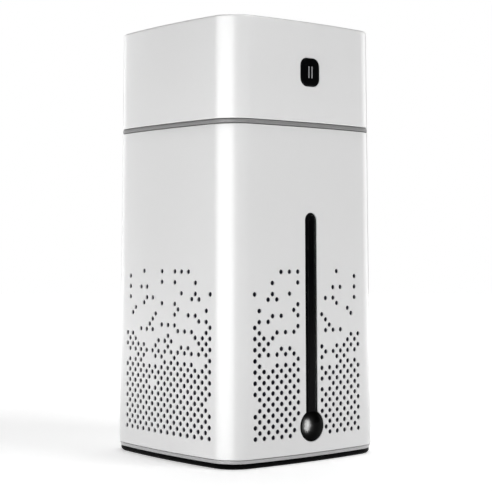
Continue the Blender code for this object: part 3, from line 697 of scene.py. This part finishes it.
@dataclass(frozen=True)
class LevelWindow:
    """The smoked level window: a round-ended strip on a round bulb with a domed lens."""

    strip_half: float = 4.0
    strip_top: float = 131.3
    bulb_radius: float = 8.15
    bulb_height: float = 19.2
    proud: float = 0.35
    rim: float = 3.0
    crown: float = 0.3
    dome_rise: float = 1.65
    clearance: float = 0.15

    def outline(self, grow: float = 0.0, strip_steps: int = 20, bulb_steps: int = 56) -> list[Point]:
        """The outline in X and Z, grown by a margin."""
        half, bulb = self.strip_half + grow, self.bulb_radius + grow
        end = self.strip_top - self.strip_half
        neck = math.asin(half / bulb)
        strip = [(half, end, math.pi * i / strip_steps) for i in range(strip_steps + 1)]
        round_bulb = [(bulb, self.bulb_height, QUARTER + neck + 2 * (math.pi - neck) * i / bulb_steps)
                      for i in range(bulb_steps + 1)]
        return [(radius * math.cos(angle), height + radius * math.sin(angle))
                for radius, height, angle in strip + round_bulb]

    def covers(self, x: float, z: float, pattern: HolePattern) -> bool:
        """Whether a hole there would come too near the window."""
        to_bulb = math.hypot(x, z - self.bulb_height)
        beside = abs(x) < self.strip_half + pattern.window_margin
        on_strip = beside and self.bulb_height < z < self.strip_top + pattern.window_margin
        return on_strip or to_bulb < self.bulb_radius + pattern.bulb_margin

    def build(self) -> None:
        """Makes the lens and its dome."""
        front = TOWER.half_width + self.proud
        lens = slab("window_lens", self.outline(), -front, -front + self.rim + 0.4, self.rim,
                    TOWER.draft, 8, self.crown)
        radius = self.bulb_radius - 0.5
        sphere = (radius ** 2 + self.dome_rise ** 2) / (2 * self.dome_rise)
        steps = 12
        reaches = [radius * k / steps for k in range(steps + 1)]
        cap = [(reach, math.sqrt(sphere ** 2 - reach ** 2) - sphere + self.dome_rise) for reach in reaches]
        middle = Vector((0, -front + TOWER.draft * self.bulb_height, self.bulb_height))
        placed = Matrix.Translation(middle) @ Matrix.Rotation(QUARTER, 4, "X")
        dome = turned("bulb_dome", [*cap, (radius, -1.2), (0, -1.2)], matrix=placed, steps=64)
        flange = slab("window_flange", self.outline(1.8), -front + 2.7, -front + 3.6, 0.0, TOWER.draft)
        cut(lens, [flange], "UNION", 20.0)
        settle(lens, SMOKED, Body.LOWER, "level_window")
        settle(dome, LENS, Body.LOWER)


@dataclass(frozen=True)
class LowerHousing:
    """The white shell round the tank, perforated on all four sides."""

    pattern: HolePattern = field(default_factory=HolePattern)
    window: LevelWindow = field(default_factory=LevelWindow)
    bottom: float = 5.0
    top: float = 176.25
    wall: float = 2.2
    rebate_level: float = 169.7
    rebate_inset: float = 1.1
    # the white skin's share of the wall; the deeper faces take the painted hole shade
    skin_share: float = 0.24
    corner_steps: int = 14

    def levels(self) -> list[float]:
        """The heights of the sheet's rows."""
        low = [self.bottom, self.bottom + 0.12, self.bottom + 0.5]
        high = [116.0, 132.0, 150.0, self.rebate_level - 0.05, self.rebate_level + 0.05,
                self.top - 0.5, self.top - 0.12, self.top]
        return low + self.pattern.row_edges() + high

    def inset(self, z: float, depth: float) -> float:
        """How far in a point is, from the outer skin (depth 0) to the inner one (depth 1)."""
        inner = self.rebate_inset if z > self.rebate_level else self.wall
        gap = min(z - self.bottom, self.top - z)
        outer = 0.35 if gap < 0.05 else 0.12 if gap < 0.2 else 0.0
        return outer + (inner - outer) * depth

    def flat_quarter(self, side: int) -> BMesh:
        """One side and the corner after it, flat, with its holes and its thickness.

        Args:
            side: 0 for the front, then anticlockwise seen from above.

        Returns:
            The mesh: x is along the side, y is the depth in the wall from 0 to 1, and z is the height.
        """
        pattern = self.pattern
        shift = pattern.shift if side % 2 else -pattern.shift
        inner = pattern.column_edges(shift)
        corner = [CORNER_MARK + i for i in range(self.corner_steps + 1)]
        columns, rows = [-CORNER_MARK, *inner, *corner], self.levels()
        bm = bmesh.new()
        bmesh.ops.create_grid(bm, x_segments=len(columns) - 1, y_segments=len(rows) - 1, size=0.5)
        for vert in bm.verts:
            column = round((vert.co.x + 0.5) * (len(columns) - 1))
            row = round((vert.co.y + 0.5) * (len(rows) - 1))
            vert.co = (columns[column], 0.0, rows[row])
        self._pierce(bm, inner[0], shift, side)
        sheet = bm.faces[:]
        for depth in (self.skin_share, 1.0):
            grown = bmesh.ops.extrude_face_region(bm, geom=sheet, use_keep_orig=depth < 1.0)["geom"]
            sheet = among(grown, BMFace)
            for vert in among(grown, BMVert):
                vert.co.y = depth
        # Faces deeper than the white skin, round the holes and on the inside, take the dark second finish:
        # painted shade in the holes.
        low, high = self.bottom + 1.0, pattern.row_edges()[-1] + 1.0
        for face in bm.faces:
            in_hole_shade = all(v.co.y > 0.1 and low < v.co.z < high for v in face.verts)
            face.material_index = int(in_hole_shade)
        ends = (columns[0], columns[-1])
        joints = [f for f in bm.faces if any(all(abs(v.co.x - end) < 1e-4 for v in f.verts)
                                             for end in ends)]
        bmesh.ops.delete(bm, geom=joints, context="FACES")
        return bm

    def _pierce(self, bm: BMesh, left: float, shift: float, side: int) -> None:
        """Opens the round holes in a flat sheet."""
        pattern = self.pattern
        chosen = pattern.chosen()
        bottom = pattern.row_edges()[0]
        places: dict[BMFace, Vector] = {}
        for face in bm.faces:
            middle = face.calc_center_median()
            cell = math.floor((middle.x - left) / (pattern.pitch / 2))
            row = math.floor((middle.z - bottom) / pattern.row_step)
            from_corner = pattern.cells - 1 - cell if side % 2 else cell
            if not 0 <= cell < pattern.cells or (from_corner, row) not in chosen:
                continue
            if side or not self.window.covers(middle.x, middle.z, pattern):
                places[face] = middle
        holes = list(places)
        bmesh.ops.inset_individual(bm, faces=holes, thickness=0.4, use_even_offset=True)
        bmesh.ops.bisect_edges(bm, edges=list({e for f in holes for e in f.edges}),
                               cuts=pattern.rim_cuts)
        for face in holes:
            middle = places[face]
            for vert in face.verts:
                off = vert.co - middle
                turn = math.degrees(math.atan2(off.z, off.x))
                angle = math.radians(round(turn / pattern.rim_angle - 0.5) * pattern.rim_angle
                                     + pattern.rim_angle / 2)
                vert.co = middle + Vector((math.cos(angle), 0, math.sin(angle))) * pattern.radius
        bmesh.ops.delete(bm, geom=holes, context="FACES_ONLY")

    def wrap(self, flat: Vector, side: int) -> Vector:
        """Where a point of a flat quarter lies on the tower."""
        inset = self.inset(flat.z, flat.y)
        if flat.x >= CORNER_MARK:
            placed = TOWER.on_corner((flat.x - CORNER_MARK) / self.corner_steps, flat.z, inset)
        else:
            along = -TOWER.side_end(flat.z) if flat.x <= -CORNER_MARK else flat.x
            placed = TOWER.on_side(along, flat.z, inset)
        return Matrix.Rotation(side * QUARTER, 3, "Z") @ placed

    def build(self) -> None:
        """Makes the shell and cuts the window's opening."""
        whole = bmesh.new()
        for side in range(4):
            quarter = self.flat_quarter(side)
            for vert in quarter.verts:
                vert.co = self.wrap(vert.co, side)
            mesh = bpy.data.meshes.new("quarter")
            quarter.to_mesh(mesh)
            quarter.free()
            whole.from_mesh(mesh)
            bpy.data.meshes.remove(mesh)
        shell = loose("perforated_housing", whole)
        for finish in (WHITE, PAINTED_HOLE_SHADE):
            shell.data.materials.append(finish.material())
        opening = slab("opening", self.window.outline(self.window.clearance), -62.0, -50.0)
        cut(shell, [opening])
        settle(shell, WHITE, Body.LOWER, "lower_housing")


@dataclass(frozen=True)
class Base:
    """The black tray, the skirt over it (its grey partly painted shade), the feet and the screws that they
    hide.
    """

    tray_bottom: float = 0.1
    skirt_bottom: float = 3.0
    housing_bottom: float = 5.0
    rim_inset: float = 2.9
    foot_spread: float = 41.0
    foot_radius: float = 6.0
    rim_top: float = 9.0
    gap: float = 0.25

    def build(self) -> None:
        """Makes the tray, skirt, feet and screws."""
        low, rim = self.tray_bottom, self.rim_inset
        tray = TOWER.swept("base_pan", [
            (9.0, low), (2.0, low, 0.5), (1.05, low + 1.1, 0.5), (1.0, self.skirt_bottom - 0.2, 0.3),
            (rim, self.skirt_bottom - 0.2), (rim, self.rim_top, 0.4),
            (rim + 2.0, self.rim_top, 0.4),
            (rim + 2.0, self.skirt_bottom)], closed=False)
        spread = self.foot_spread
        spots = [(name, x * spread, y * spread) for name, x, y in CORNERS]
        wells = [turned("well", [(0, -1), (6.3, -1), (6.3, 1.7), (3.3, 1.7), (3.3, 2.9), (0, 2.9)],
                        matrix=Matrix.Translation((x, y, 0))) for _, x, y in spots]
        cut(tray, wells)
        settle(tray, BLACK, Body.LOWER, "base_tray")
        # The skirt's grey is partly painted shade of its downward-facing lip.
        skirt = TOWER.swept("base_skirt", [
            (0.75, self.skirt_bottom, 0.15), (0.3, self.housing_bottom - self.gap, 0.15),
            (rim - 0.3, self.housing_bottom - self.gap), (rim - 0.3, self.skirt_bottom)])
        settle(skirt, SKIRT_GREY_AND_SHADE, Body.LOWER, "base_skirt_ring")
        for name, x, y in spots:
            self._foot(f"rubber_foot_{name}", x, y, f"foot_{name}")
            Screw((x, y, 3.9), 2.8, 1.4, 7.0, up=False).build(f"tray_screw_{name}", Body.LOWER,
                                                             f"base_screw_{name}")

    def _foot(self, name: str, x: float, y: float, node: str) -> None:
        """A rubber foot with a moulded ring in its sole."""
        r = self.foot_radius
        foot = turned(name, [(0, 1.4), (r, 1.4, 0.2), (r, 0.0, 0.5), (4.4, 0.0, 0.1), (4.1, 0.3, 0.1),
                             (3.3, 0.3, 0.1), (3.0, 0.0, 0.1), (0, 0.0)],
                      matrix=Matrix.Translation((x, y, 0)))
        settle(foot, RUBBER, Body.LOWER, node)


@dataclass(frozen=True)
class Screw:
    """A cross-recessed pan-head screw. Its head sits at `at`."""

    at: tuple[float, float, float]
    head: float
    shank: float
    length: float
    up: bool = True

    def build(self, name: str, body: Body, node: str) -> None:
        """Makes the screw in place of its CAD node, with its head up or down."""
        thick, head, shank = self.head * 0.6, self.head, self.shank
        profile: list[RoundedPoint] = [(0, thick), (head * 0.72, thick, 0.3), (head, thick * 0.4, 0.3),
                                       (head, 0, 0.1), (shank, 0)]
        turns = int((self.length - shank) / 0.9)
        for i in range(turns):
            z = -0.2 - i * 0.9
            profile += [(shank, z), (shank * 0.8, z - 0.45)]
        profile += [(shank * 0.75, -self.length + shank), (0, -self.length)]
        placed = Matrix.Translation(self.at)
        if not self.up:
            placed = placed @ Matrix.Rotation(math.pi, 4, "X")
        screw = turned(name, profile, steps=24, matrix=placed)
        arm, slot = head * 0.55, head * 0.11
        recess = [block("recess", (-a, -b, thick * 0.45), (a, b, thick + 1), matrix=placed)
                  for a, b in ((arm, slot), (slot, arm))]
        cut(screw, recess)
        settle(screw, STEEL, body, node)


@dataclass(frozen=True)
class Tank:
    """The smoked water tank hanging in the lower housing."""

    inset: float = 3.8
    wall: float = 1.6
    bottom: float = 12.0
    top: float = 172.0
    flange: float = 2.0
    flange_inset: float = 1.4
    fill_line: float = 140.0
    bead: float = 0.35

    def build(self) -> None:
        """Makes the tank, with a fill-line bead round its inside."""
        inner, line = self.inset + self.wall, self.fill_line
        tank = TOWER.swept("smoked_tank", [
            (9.0, self.bottom), (self.inset, self.bottom, 2.4),
            (self.inset, self.top - self.flange, 0.3),
            (self.flange_inset, self.top - self.flange, 0.3), (self.flange_inset, self.top, 0.5),
            (inner, self.top, 0.6), (inner, line + 0.6), (inner + self.bead, line + 0.3, 0.1),
            (inner + self.bead, line - 0.3, 0.1), (inner, line - 0.6),
            (inner, self.bottom + 1.8, 2.4), (9.0, self.bottom + 1.8)], closed=False)
        settle(tank, TANK, Body.LOWER, "water_tank")


# ------------------------------------------------------------------------------ head

@dataclass(frozen=True)
class HeadHousing:
    """The head's white cover: dished top with the mist hole, button opening and inlet."""

    bottom: float = 179.0
    height: float = 232.0
    wall: float = 2.2
    top_edge: float = 1.3
    dish_radius: float = 29.0
    dish_depth: float = 3.0
    outlet_radius: float = 9.2

    def build(self, button: PowerButton, inlet_height: float) -> None:
        """Makes the cover.

        Args:
            button: The button that its front opening clears.
            inlet_height: The middle height of the inlet opening.
        """
        top, wall, r = self.height, self.wall, self.dish_radius
        floor = top - self.dish_depth
        cover = TOWER.swept("head_cover", [
            (4.5, top - wall), (wall, top - wall, 1.0), (wall, self.bottom), (0.0, self.bottom, 0.4),
            (0.0, top, self.top_edge), (4.5, top)], closed=False, fillet_steps=5)
        backing = turned("dish_backing", [
            (0, top - 1), (r + 2.4, top - 1), (r + 2.2, top - 3.6, 1.0), (r - 6, floor - wall, 2.0),
            (0, floor - wall)], steps=96)
        outer, bore, low, bore_top = 3.6, 1.7, 181.5, 197.0
        post = [(0, top - 1.5), (outer, top - 1.5), (outer, low), (bore, low), (bore, bore_top),
                (0, bore_top)]
        ends = (-POST_SPREAD, POST_SPREAD)
        posts = [turned("post", post, steps=32, matrix=Matrix.Translation((x, y, 0)))
                 for x in ends for y in ends]
        cut(cover, [backing, *posts], "UNION")
        dish = turned("dish", [(0, top + 2), (r + 2.5, top + 2), (r + 0.6, top - 0.02, 1.0),
                               (r - 3.0, top - self.dish_depth * 0.75, 3.0), (r - 9.0, floor, 4.0),
                               (self.outlet_radius + 0.5, floor), (self.outlet_radius, floor - 0.5),
                               (self.outlet_radius, floor - 6), (0, floor - 6)], steps=96, fillet_steps=6)
        opening = slab("opening", button.outline(0.2), -60.0, -45.0)
        inlet = slab("inlet", rounded_rectangle(12.4, 6.8, 2.2, (0, inlet_height)), 45.0, 60.0)
        cut(cover, [dish, opening, inlet])
        settle(cover, WHITE, Body.HEAD, "head_housing")


@dataclass(frozen=True)
class PowerButton:
    """The black push button, with a light guide that shows as two bars."""

    height: float = 205.4
    wide: float = 13.1
    tall: float = 14.8
    corner: float = 4.2
    proud: float = 0.5
    bar_wide: float = 0.85
    bar_tall: float = 6.3
    bar_off: float = 1.1

    def outline(self, grow: float = 0.0) -> list[Point]:
        """The cap's outline, grown by a margin."""
        return rounded_rectangle(self.wide + 2 * grow, self.tall + 2 * grow, self.corner + grow,
                                 (0, self.height))

    def build(self) -> None:
        """Makes the cap and its light guide."""
        z = self.height
        front = -TOWER.face(z) - self.proud
        flange = -TOWER.face(z) + 2.5
        cap = slab("button_cap", self.outline(), front, flange + 0.5, 0.7, 0.0, 5)
        plate = slab("plate", rounded_rectangle(16.6, 18.2, 4.6, (0, z)), flange, flange + 1.2)
        stem = flange + 4.6
        bridge = block("bridge", (-1.5, stem - 1.4, z - 7.2), (1.5, stem, z + 7.2), 0.3)
        arms = [block("arm", (-1.5, flange + 0.4, z + s - 0.9), (1.5, stem, z + s + 0.9))
                for s in (-6.3, 6.3)]
        cut(cap, [plate, bridge, *arms], "UNION")
        pocket = block("pocket", (-3.2, front + 1.5, z - 4.4), (3.2, flange + 2.6, z + 4.4))
        half_wide, half_tall = self.bar_wide / 2, self.bar_tall / 2
        slots = [block("slot", (x - half_wide - 0.08, front - 1, z - half_tall - 0.08),
                       (x + half_wide + 0.08, front + 2, z + half_tall + 0.08))
                 for x in (-self.bar_off, self.bar_off)]
        cut(cap, [pocket, *slots])
        settle(cap, CAP_BLACK, Body.BUTTON, "power_button")
        guide = block("button_bars", (-2.7, front + 1.7, z - 3.9), (2.7, front + 2.7, z + 3.9))
        bars = [block("bar", (x - half_wide, front - 0.04, z - half_tall),
                      (x + half_wide, front + 2, z + half_tall), 0.3)
                for x in (-self.bar_off, self.bar_off)]
        cut(guide, bars, "UNION")
        settle(guide, BAR, Body.BUTTON, "button_light_guide")


@dataclass(frozen=True)
class HeadFloor:
    """The seam band, the gasket and the chassis that closes the head."""

    seam_bottom: float = 176.55
    seam_top: float = 178.75
    plug_inset: float = 6.3

    def build(self) -> None:
        """Makes the seam band and the gasket, and dresses the chassis."""
        low, high, inner = self.seam_bottom, self.seam_top, self.plug_inset - 0.3
        band = TOWER.swept("seam_band", [
            (0.05, low, 0.7), (0.05, high, 0.7), (inner, high), (inner, low)], fillet_steps=5)
        settle(band, SEAM, Body.HEAD, "seam_ring")
        inset = self.plug_inset
        gasket = TOWER.swept("lip_gasket", [
            (inset + 0.7, 165.9), (inset - 0.1, 166.1, 0.2), (inset - 0.55, 166.8, 0.3),
            (inset - 0.15, 167.5, 0.2), (inset - 0.55, 168.2, 0.3), (inset - 0.1, 168.9, 0.2),
            (inset + 0.7, 169.1)])
        settle(gasket, SILICONE, Body.HEAD, "tank_gasket")
        dress(INNER, "head_chassis")
        for name, x, y in CORNERS:
            at = (x * POST_SPREAD, y * POST_SPREAD, self.seam_top + 0.05)
            screw = Screw(at, 3.0, 1.5, 14.0, up=False)
            screw.build(f"cover_screw_{name}", Body.HEAD, f"head_screw_{name}")


@dataclass(frozen=True)
class Atomiser:
    """The mist nozzle, and under it the vibrating disc with its washers, clamp and leads."""

    seat_top: float = 188.0
    disc_level: float = 185.9
    lip: float = 229.25

    def build(self) -> None:
        """Makes the nozzle, disc, piezo ring, washers, clamp and screws."""
        seat, lip = self.seat_top, self.lip
        nozzle = turned("mist_chimney", [
            (12.0, lip + 2.4, 0.5), (13.5, lip + 1.2, 0.8), (13.5, lip, 0.2), (8.6, lip),
            (8.6, seat + 3.6, 0.3), (7.0, seat + 3.6, 0.3), (7.0, lip - 1.0, 2.5),
            (10.2, lip + 2.4, 0.5)], closed=True, steps=72, fillet_steps=5)
        settle(nozzle, INNER, Body.HEAD, "mist_nozzle")
        level = self.disc_level
        disc = turned("vibrating_disc", [
            (0, level + 0.85), (2.4, level + 0.5, 0.6), (10.4, level + 0.5, 0.1), (10.4, level, 0.1),
            (2.6, level, 0.6), (0, level + 0.35)], steps=64)
        settle(disc, DISC, Body.HEAD, "atomiser_disc")
        rings = (
            ("piezo_washer", "piezo_ring", 4.6, 8.0, level + 0.7, level + 1.4, CERAMIC),
            ("washer_low", "lower_washer", 7.2, 11.0, seat - 3.8, level - 0.2, SILICONE),
            ("washer_high", "upper_washer", 8.4, 11.0, level + 0.7, level + 1.9, SILICONE),
        )
        for name, node, inner, outer, low, high, finish in rings:
            edge = (high - low) * 0.25
            ring = turned(name, [(outer, high, edge), (outer, low, edge), (inner, low, edge),
                                 (inner, high, edge)], closed=True, steps=64)
            settle(ring, finish, Body.HEAD, node)
        dress(INNER, "atomiser_clamp")
        dress(RED_WIRE, "atomiser_lead_red")
        dress(CHIP, "atomiser_lead_black")
        for side, y in (("front", -14.7), ("back", 14.7)):
            Screw((0, y, seat + 3.3), 2.4, 1.2, 7.5).build(f"ring_screw_{side}", Body.HEAD,
                                                          f"clamp_screw_{side}")


@dataclass(frozen=True)
class Electronics:
    """The circuit board with its parts, and the power inlet at the back."""

    board_top: float = 202.6
    inlet_back: float = 51.6
    inlet_front: float = 44.2
    contact_count: int = 5

    @property
    def inlet_height(self) -> float:
        """The middle height of the inlet socket."""
        return self.board_top + 1.75

    def build(self) -> None:
        """Dresses the board and its parts, and makes the inlet socket and screws."""
        dress(BOARD, "control_board")
        dress(CHIP, "driver_chip", "inductor", "tactile_switch", "switch_plunger")
        dress(STEEL, "capacitor")
        dress(GUIDE, "night_light_left", "night_light_right", "light_lens_left", "light_lens_right")
        z, back = self.inlet_height, self.inlet_back
        shell = slab("inlet_shell", rounded_rectangle(9.0, 3.2, 1.5, (0, z)), self.inlet_front, back)
        mouth = slab("mouth", rounded_rectangle(8.4, 2.6, 1.2, (0, z)), self.inlet_front + 1.4, back + 4)
        cut(shell, [mouth])
        tongue = block("tongue", (-3.3, self.inlet_front + 0.8, z - 0.35), (3.3, back - 1.2, z + 0.35), 0.1)
        cut(shell, [tongue], "UNION")
        settle(shell, STEEL, Body.HEAD, "usb_socket")
        contacts = bmesh.new()
        for i in range(self.contact_count):
            x = (i - (self.contact_count - 1) / 2) * 1.1
            size = Matrix.Diagonal((0.45, 3.6, 0.12, 1.0))
            for side in (-1, 1):
                at = Matrix.Translation((x, back - 3.6, z + side * 0.4))
                bmesh.ops.create_cube(contacts, size=1.0, matrix=at @ size)
        strips = loose("inlet_contacts", contacts)
        settle(strips, BRASS, Body.HEAD)
        for name, x, y in CORNERS:
            Screw((x * 24.0, y * 33.0, self.board_top + 0.2), 2.5, 1.2, 8.5).build(
                f"panel_screw_{name}", Body.HEAD, f"board_screw_{name}")


@dataclass(frozen=True)
class WickTube:
    """The tube that hangs in the water, with its bayonet lugs, end cap, spring and wick."""

    outer: float = 6.6
    inner: float = 4.9
    bottom: float = 19.4
    top: float = 182.5
    lug_level: float = 167.9
    lug_thick: float = 2.0
    lug_radius: float = 14.0
    slot_levels: tuple[float, ...] = (30.0, 42.0)
    spring_low: float = 19.5
    spring_high: float = 31.2
    spring_radius: float = 3.6
    spring_wire: float = 0.45
    spring_pressed: float = 0.75

    def build(self) -> None:
        """Makes the tube, cap and wick, and dresses the spring."""
        outer, lug_top, lug = self.outer, self.lug_level + self.lug_thick, self.lug_level
        tube = turned("wick_pipe", [
            (outer - 0.2, self.top, 0.2), (outer, self.top - 0.8), (outer, lug_top + 2.0, 1.0),
            (11.2, lug_top, 0.3), (11.2, lug, 0.3), (outer, lug - 2.0, 1.0), (outer, self.bottom),
            (self.inner, self.bottom), (self.inner, self.top, 0.3)], closed=True, steps=64)
        cut(tube, [self._lug(start) for start in (155.0, -25.0)], "UNION")
        slots = [slab("slot", rounded_rectangle(2.4, 8.0, 1.19, (0, z + 4.0)), -10, 10)
                 for z in self.slot_levels * 2]
        for slot in slots[len(self.slot_levels):]:
            slot.data.transform(Matrix.Rotation(QUARTER, 4, "Z"))
        cut(tube, slots)
        settle(tube, INNER, Body.FILTER, "filter_tube")
        self._cap()
        wick = turned("wick_stick", [
            (0, 185.3), (3.9, 185.3, 1.0), (4.0, 110.0), (3.85, 104.0, 8.0), (4.0, 98.0), (4.0, 32.0, 0.8),
            (0, 32.0)], steps=40)
        settle(wick, COTTON, Body.WICK, "cotton_wick")
        self._spring()

    def _lug(self, start: float) -> Piece:
        """A bayonet lug: half a radian and more of a thick ring, from an angle in degrees."""
        bm = bmesh.new()
        low, high = self.lug_level, self.lug_level + self.lug_thick
        turn = Matrix.Rotation(math.radians(start), 3, "Z")
        corners = ((10.0, low), (self.lug_radius, low), (self.lug_radius, high), (10.0, high))
        face = bm.faces.new([bm.verts.new(turn @ Vector((r, 0, z))) for r, z in corners])
        bmesh.ops.spin(bm, geom=[face], cent=(0, 0, 0), axis=(0, 0, 1), dvec=(0, 0, 0),
                       angle=math.radians(50), steps=12)
        bmesh.ops.contextual_create(bm, geom=[e for e in bm.edges if len(e.link_faces) == 1][:4])
        bmesh.ops.holes_fill(bm, edges=[e for e in bm.edges if e.is_boundary], sides=4)
        return loose("lug", bm)

    def _spring(self) -> None:
        """The coil under the wick, with flat end turns."""
        bm = bmesh.new()
        start = Matrix.Translation((self.spring_radius, 0, self.spring_low))
        bmesh.ops.create_circle(bm, segments=10, radius=self.spring_wire,
                                matrix=start @ Matrix.Rotation(QUARTER, 4, "X"))
        rim = bm.edges[:]
        for turns, rise in ((0.7, 0.0), (3.6, self.spring_high - self.spring_low), (0.7, 0.0)):
            steps = round(24 * turns)
            made = bmesh.ops.spin(bm, geom=rim, cent=(0, 0, 0), axis=(0, 0, 1), steps=steps,
                                  dvec=(0, 0, rise / steps), angle=math.tau * turns)
            rim = among(made["geom_last"], BMEdge)
        bmesh.ops.holes_fill(bm, edges=[e for e in bm.edges if e.is_boundary], sides=0)
        spring = loose("wick_coil", bm, 60.0)
        settle(spring, STEEL, Body.FILTER, "wick_spring")
        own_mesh(spring)

    def _cap(self) -> None:
        """The ribbed end cap with its drain."""
        low, outer, inner = 17.0, 8.6, self.outer + 0.3
        cap = turned("pipe_cap", [
            (outer, low + 9, 0.4), (outer, low, 1.0), (2.2, low, 0.2), (2.2, low + 1.8, 0.2),
            (inner, low + 1.8), (inner, low + 9, 0.2)], closed=True, steps=64)
        flute = [(0, low + 8), (0.5, low + 7.4, 0.2), (0.5, low + 1.6, 0.2), (0, low + 1.0)]
        flutes = []
        for i in range(16):
            turn = Matrix.Rotation(math.tau * i / 16, 4, "Z")
            lift = Matrix.Translation((outer + 0.15, 0, 0))
            flutes.append(turned("flute", flute, steps=12, matrix=turn @ lift))
        cut(cap, flutes)
        settle(cap, INNER, Body.FILTER, "filter_tube_cap")


# ------------------------------------------------------------------------------ studio

@dataclass(frozen=True)
class SoftBox:
    """A soft light aimed at the tower. Lengths are in metres, but for `aim` in millimetres."""

    name: str
    azimuth: float               # in degrees, 0 in front and 90 on the right
    elevation: float             # in degrees above the level
    distance: float              # from the axis
    size: Point                  # its width and height
    power: float                 # in watts
    only: tuple[str, ...] = ()   # the pieces that it lights, in their shine alone, or all
    aim: float = 116.0           # the height that it is aimed at
    shine: bool = True           # whether it shows in the shine of surfaces
    round: bool = False

    def build(self) -> None:
        """Hangs the light."""
        data = bpy.data.lights.new(self.name, "AREA")
        data.shape = "ELLIPSE" if self.round else "RECTANGLE"
        data.size, data.size_y = self.size
        data.energy = self.power
        light = bpy.data.objects.new(self.name, data)
        bpy.context.scene.collection.objects.link(light)
        a, e = math.radians(self.azimuth), math.radians(self.elevation)
        away = Vector((math.sin(a) * math.cos(e), -math.cos(a) * math.cos(e), math.sin(e)))
        light.location = Vector((0, 0, self.aim * MM)) + away * self.distance
        light.rotation_euler = (-away).to_track_quat("-Z", "Y").to_euler()
        light.visible_glossy = self.shine
        if self.only:
            data.cycles.use_multiple_importance_sampling = light.visible_diffuse = False
            lit = bpy.data.collections.new(f"lit_by_{self.name}")
            for name in self.only:
                lit.objects.link(bpy.data.objects[name])
            light.light_linking.receiver_collection = lit
            light.light_linking.blocker_collection = lit


@dataclass(frozen=True)
class Studio:
    """The pale floor, soft lights, pale surroundings and camera."""

    eye: tuple[float, float, float] = (-482.3, -583.0, 112.6)
    heading: float = 39.675
    pitch: float = 0.10
    lens: float = 99.19
    floor_radius: float = 2600.0
    floor_glow: float = 0.45
    far_glow: float = 1.1
    glow_start: float = 250.0
    glow_end: float = 750.0
    ambient: float = 0.05
    lights: tuple[SoftBox, ...] = (
        SoftBox("key", -74.0, 4.0, 1.3, (1.45, 0.5), 9.3, shine=False),
        SoftBox("corner", -77.0, 0.0, 1.3, (1.7, 1.8), 28.0,
                only=("perforated_housing", "head_cover", "seam_band", "base_skirt")),
        SoftBox("fill", 22.0, 46.0, 1.3, (0.5, 0.5), 6.4),
        SoftBox("rim_right", 88.0, 4.0, 1.3, (0.9, 1.0), 4.4),
        SoftBox("rim_left", -176.0, 4.0, 1.3, (0.9, 1.0), 4.2),
        SoftBox("back", 140.0, 72.0, 1.6, (0.8, 0.8), 8.0),
        SoftBox("glint", 11.0, -3.0, 0.5, (0.17, 0.28), 46.0, only=("bulb_dome",), aim=19.0,
                round=True),
        SoftBox("streak_left", 25.0, -1.0, 1.0, (0.12, 1.1), 1.2, only=("window_lens",), aim=70.0),
        SoftBox("streak_right", 57.0, -1.0, 1.0, (0.12, 1.1), 1.4, only=("window_lens",), aim=70.0),
    )

    def build(self) -> None:
        """Sets up the whole studio."""
        scene = bpy.context.scene
        scene.view_settings.view_transform = "Standard"
        scene.view_settings.look = "None"
        self._floor()
        self._surroundings(scene)
        for light in self.lights:
            light.build()
        data = bpy.data.cameras.new("camera")
        data.lens, data.sensor_width = self.lens, 36.0
        data.clip_start, data.clip_end = 0.01, 50.0
        camera = bpy.data.objects.new("camera", data)
        scene.collection.objects.link(camera)
        camera.location = Vector(self.eye) * MM
        yaw, pitch = math.radians(self.heading), math.radians(self.pitch)
        ahead = Vector((math.sin(yaw) * math.cos(pitch), math.cos(yaw) * math.cos(pitch),
                        math.sin(pitch)))
        camera.rotation_euler = ahead.to_track_quat("-Z", "Y").to_euler()
        scene.camera = camera

    def _floor(self) -> None:
        """A pale floor, lit from below more strongly away from the tower."""
        bm = bmesh.new()
        bmesh.ops.create_circle(bm, segments=96, radius=self.floor_radius, cap_ends=True)
        floor = loose("floor", bm)
        graph = Graph("pale_floor")
        shader = graph.shader.inputs
        slow = graph.noise(400.0, 2.0)
        graph.feed(shader["Base Color"], graph.blend(slow, (0.88, 0.88, 0.88, 1), (0.92, 0.92, 0.92, 1)))
        shader["Roughness"].default_value = 0.9
        shader["Specular IOR Level"].default_value = 0.1
        span = self.glow_end - self.glow_start
        away = graph.node("ShaderNodeVectorMath", {0: graph.place()}, output="Value", operation="LENGTH")
        near, far = (*[self.floor_glow] * 3, 1.0), (*[self.far_glow] * 3, 1.0)
        share = (away * (1 / span) - self.glow_start / span).clamped()
        graph.feed(shader["Emission Color"], graph.blend(share, near, far))
        shader["Emission Strength"].default_value = 1.0
        floor.data.materials.append(graph.material)

    def _surroundings(self, scene: bpy.types.Scene) -> None:
        """White surroundings that light the tower less than they show."""
        world = bpy.data.worlds.new("white_room")
        world.use_nodes = True
        nodes, links = world.node_tree.nodes, world.node_tree.links
        seen = nodes.new("ShaderNodeLightPath")
        dim, bright = nodes["Background"], nodes.new("ShaderNodeBackground")
        mix = nodes.new("ShaderNodeMixShader")
        for background, strength in ((dim, self.ambient), (bright, 1.0)):
            background.inputs["Color"].default_value = (1, 1, 1, 1)
            background.inputs["Strength"].default_value = strength
        links.new(seen.outputs["Is Camera Ray"], mix.inputs[0])
        links.new(dim.outputs[0], mix.inputs[1])
        links.new(bright.outputs[0], mix.inputs[2])
        links.new(mix.outputs[0], nodes["World Output"].inputs["Surface"])
        scene.world = world


# ------------------------------------------------------------------------------ assembly


def main() -> None:
    """Builds the object's pieces in order, then the studio."""
    housing = LowerHousing()
    button = PowerButton()
    electronics = Electronics()
    steps: list[Callable[[], None]] = [
        Base().build, housing.build, housing.window.build, Tank().build,
        lambda: HeadHousing().build(button, electronics.inlet_height), button.build,
        HeadFloor().build, Atomiser().build, electronics.build, WickTube().build, Studio().build,
    ]
    for step in steps:
        step()
    bpy.context.view_layer.update()


if __name__ == "__main__":
    logging.basicConfig(level=logging.INFO, format="%(name)s: %(message)s")
    main()
